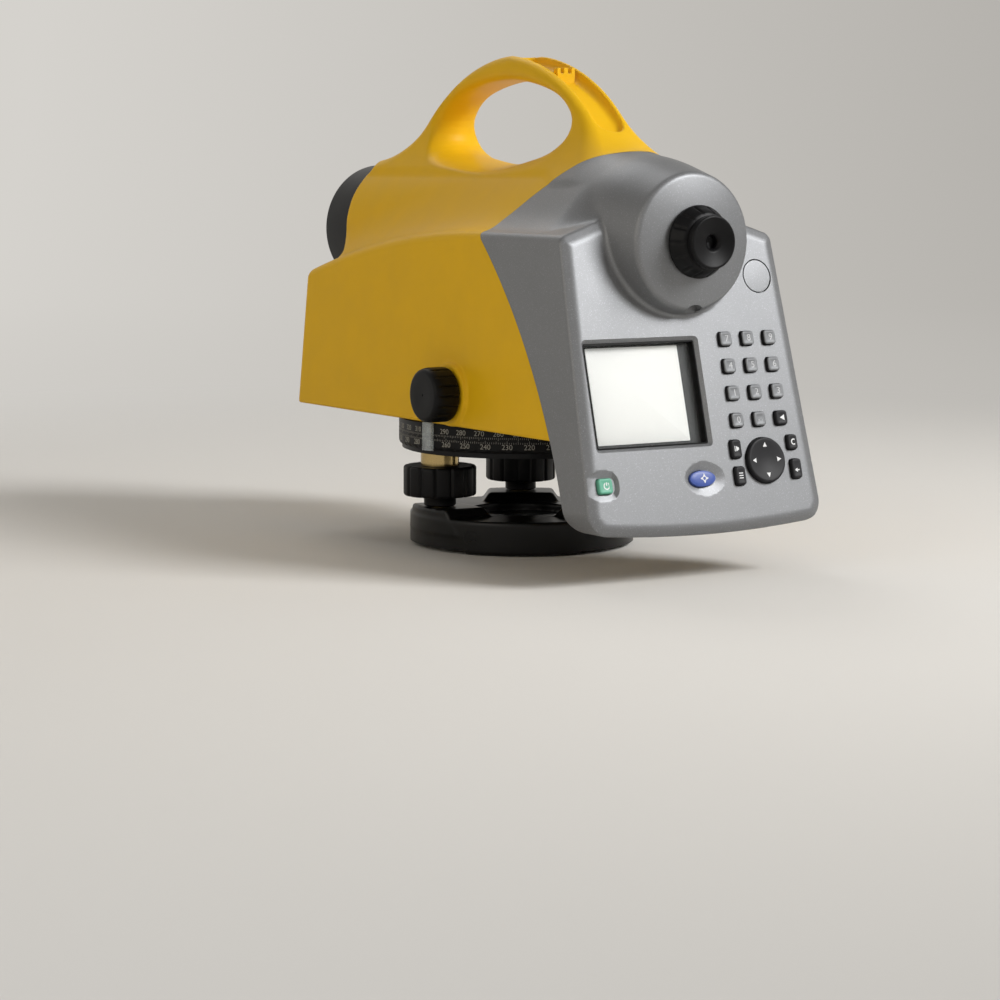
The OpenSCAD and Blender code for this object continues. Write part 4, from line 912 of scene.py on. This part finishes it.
def base_field(x, y, z):
    """The round plate with three sloped seats and a well."""
    rho = np.hypot(x, y)
    d = trim(trim(rho - BASE_R, z - BASE_THICK, 1.3), -z, 1.0)
    for a in FEET.values():
        c, s = math.cos(math.radians(a)), math.sin(math.radians(a))
        out, across = x * c + y * s, np.abs(y * c - x * s)
        low = (BOSS_TOP - z) * 0.7
        seat = trim((across - 16 - low) * 0.82, (30.6 - low - out) * 0.82, 1.0)
        seat = trim(trim(seat, z - BOSS_TOP, 0.9), rho - BASE_R, 1.2)
        d = join(d, np.maximum(seat, 8 - z), 0.8)
    return trim(d, -np.maximum(rho - WELL_R, WELL_FLOOR - z), 1.0)


def base():
    obj = make("base_casting", *net(base_field, (-58, -58, -3), (58, 58, 24), BASE_NET))
    wedge = np.array([(20, -11.5), (70, -40.4), (70, 40.4), (20, 11.5)])
    arm = np.array([(0, -8.3), (52.7, -8.3), (52.7, 8.3), (0, 8.3)])
    cuts = []
    for a in FEET.values():
        turn = Matrix.Rotation(math.radians(a), 4, 'Z')
        for plan, top in ((wedge, 1.5), (arm, 4.1)):
            cuts.append(loft([placed(np.column_stack([plan, np.full(4, z)]), turn) for z in (-4, top)]))
        cuts.append(cylinder("z", 6.15, 2, 30, *polar(FOOT_CIRCLE, a)))
    cuts += [cylinder("z", 24.3, -4, 4.1, 0, 0), cylinder("z", 14.05, -5, 30, 0, 0)]
    cut(obj, cuts)
    dress(obj, "base", "black_metal", "base_plate", sharp=38)


def sight():
    """The sighting crown in the handle's channel: a plate with two round notches."""
    top, low, half, notch, depth = CREST - 6.4, 220.5, 5.0, 0.95, 1.9
    pts = [(-half, low), (half, low), (half, top - 0.4), (4.6, top)]
    for c in (2.1, -2.1):
        turn = [polar(notch, a) for a in range(0, 181, 30)]
        pts += [(c + notch, top)] + [(c + dx, top - depth - dz) for dx, dz in turn] + [(c - notch, top)]
    pts += [(-4.6, top), (-half, top - 0.4)]
    p = np.array(pts)
    rings = [np.column_stack([p[:, 0], np.full(len(p), y), p[:, 1]]) for y in (-33.7, -36.7)]
    obj = make("sighting_crown", *loft(rings))
    bevel = obj.modifiers.new("edge", 'BEVEL')
    bevel.width, bevel.segments, bevel.limit_method = 0.0003, 2, 'ANGLE'
    dress(obj, "instrument", "yellow_shell", sharp=40)


# -------------------- CAD pieces that stay
def keep_cad():
    slots = {s["node"]: s["material_slot"] for s in frame["record"]["subparts"]}
    looks = {"objective_lens": COATED, "display_window": WINDOW}
    for name, obj in frame["nodes"].items():
        obj.data.materials.clear()
        obj.data.materials.append(looks.get(name) or MATERIALS[slots[name]])
    for name in ("tribrach_head", "bottom_cover", "thread_bush"):
        edge = frame["nodes"][name].modifiers.new("edge", 'BEVEL')
        edge.width, edge.segments, edge.limit_method, edge.angle_limit = 0.0004, 2, 'ANGLE', math.radians(50)


# -------------------- stage, light and camera
WHITE, WARM = (1.0, 1.0, 1.0), (1.0, 0.92, 0.80)
SKY, SKY_STRENGTH = (1.0, 0.97, 0.925, 1), 0.25
LAMPS = (("key", (1.05, -1.45, 1.3), 0.8, 42, WHITE),
         ("fill", (-1.75, -0.5, 0.8), 1.2, 4.8, WARM),
         ("back", (0.2, 1.3, 1.7), 1.0, 7, WHITE))
AIM = (0, 0, 0.13)
FADE_FROM, FADE_TO = 0.25, 0.95  # the floor runs into the backdrop between these radii, in metres
# painted shade: the backdrop runs from the lighter left tone to the darker right tone
LEFT_TONE, RIGHT_TONE = (0.665, 0.645, 0.610, 1), (0.465, 0.448, 0.420, 1)
TONE_HALF, TONE_ACROSS = 0.7, (0.838, -0.546, 0)


def floor_material():
    """Pale floor that runs into a pale backdrop far from the object, with painted shade that makes the backdrop a
    little darker to the right.
    """
    look = material("floor", (0.74, 0.722, 0.69), 0.85, vary=0.015, scale=2, grain=40, bump=0.01, gloss=0.1)
    tree = look.node_tree
    nodes, links = tree.nodes, tree.links
    shader, out = nodes["Principled BSDF"], nodes["Material Output"]

    def combine(operation, a, b):
        n = nodes.new("ShaderNodeMath")
        n.operation = operation
        links.new(a, n.inputs[0])
        links.new(b, n.inputs[1])
        return n.outputs["Value"]

    place = nodes.new("ShaderNodeTexCoord")
    radius = nodes.new("ShaderNodeVectorMath")
    radius.operation = 'LENGTH'
    links.new(place.outputs["Object"], radius.inputs[0])
    far = nodes.new("ShaderNodeMapRange")
    far.interpolation_type = 'SMOOTHSTEP'
    far.inputs["From Min"].default_value, far.inputs["From Max"].default_value = FADE_FROM, FADE_TO
    links.new(radius.outputs["Value"], far.inputs["Value"])
    path = nodes.new("ShaderNodeLightPath")
    seen = path.outputs["Is Camera Ray"]
    for ray in ("Is Glossy Ray", "Is Transmission Ray"):
        seen = combine('MAXIMUM', seen, path.outputs[ray])
    share = combine('MULTIPLY', far.outputs["Result"], seen)
    glow = nodes.new("ShaderNodeEmission")
    # painted shade across the backdrop, darker to the right
    across = nodes.new("ShaderNodeVectorMath")
    across.operation = 'DOT_PRODUCT'
    across.inputs[1].default_value = TONE_ACROSS
    links.new(place.outputs["Object"], across.inputs[0])
    shade = nodes.new("ShaderNodeMapRange")
    shade.inputs["From Min"].default_value, shade.inputs["From Max"].default_value = -TONE_HALF, TONE_HALF
    links.new(across.outputs["Value"], shade.inputs["Value"])
    tone = nodes.new("ShaderNodeValToRGB")
    tone.color_ramp.elements[0].color = LEFT_TONE
    tone.color_ramp.elements[1].color = RIGHT_TONE
    links.new(shade.outputs["Result"], tone.inputs["Fac"])
    links.new(tone.outputs["Color"], glow.inputs["Color"])
    both = nodes.new("ShaderNodeMixShader")
    links.new(share, both.inputs[0])
    links.new(shader.outputs[0], both.inputs[1])
    links.new(glow.outputs[0], both.inputs[2])
    links.new(both.outputs[0], out.inputs["Surface"])
    return look


def stage():
    """A floor that curves up into a round wall, a soft sky and three lamps."""
    rings = [(0.05, -0.3), (2200, -0.3)] + corner(2200, 700, 700.3, -90, 0, n=10)[1:] + [(2900.3, 2600)]
    n = 128
    t = np.arange(n) * 2 * np.pi / n
    verts = np.concatenate([np.column_stack([p[0] * np.cos(t), p[0] * np.sin(t), np.full(n, p[1])]) for p in rings])
    faces = [(k * n + i, k * n + (i + 1) % n, (k + 1) * n + (i + 1) % n, (k + 1) * n + i)
             for k in range(len(rings) - 1) for i in range(n)]
    floor = make("floor", verts, faces)
    floor.data.polygons.foreach_set("use_smooth", [True] * len(floor.data.polygons))
    floor.data.materials.append(floor_material())
    scene = bpy.context.scene
    scene.world = bpy.data.worlds.new("studio")
    scene.world.use_nodes = True
    sky = scene.world.node_tree.nodes["Background"]
    sky.inputs["Color"].default_value = SKY
    sky.inputs["Strength"].default_value = SKY_STRENGTH
    for name, at, size, power, colour in LAMPS:
        lamp = bpy.data.lights.new(name, 'AREA')
        lamp.energy, lamp.size, lamp.color = power, size, colour
        obj = bpy.data.objects.new(name, lamp)
        obj.location = at
        obj.rotation_euler = (Vector(AIM) - Vector(at)).to_track_quat('-Z', 'Y').to_euler()
        scene.collection.objects.link(obj)
    scene.view_settings.view_transform = 'Standard'


def camera():
    """The photograph's view: 33 degrees round towards -X and 7 degrees down."""
    distance, height, focal, sensor = 1.364334, 0.187604, 2807.609, 36
    azimuth, yaw, pitch, roll = (math.radians(a) for a in (33.111, -0.449, 6.996, 0.171))
    level_x, level_y = math.sin(azimuth + yaw), math.cos(azimuth + yaw)
    ahead = Vector((level_x * math.cos(pitch), level_y * math.cos(pitch), -math.sin(pitch)))
    right = ahead.cross(Vector((0, 0, 1))).normalized()
    up = right.cross(ahead)
    c, s = math.cos(roll), math.sin(roll)
    right, up = c * right + s * up, -s * right + c * up
    data = bpy.data.cameras.new("camera")
    data.sensor_width, data.lens, data.clip_end = sensor, focal / 1000 * sensor, 20
    obj = bpy.data.objects.new("camera", data)
    at = (-distance * math.sin(azimuth), -distance * math.cos(azimuth), height)
    obj.matrix_world = axes(at, right, up, -ahead)
    bpy.context.scene.collection.objects.link(obj)
    bpy.context.scene.camera = obj


camera()
stage()
keep_cad()
main_shell()
rear_shell()
base()
foot_knobs()
circle()
side_knobs()
battery()
telescope()
keys()
screen()
level()
sight()
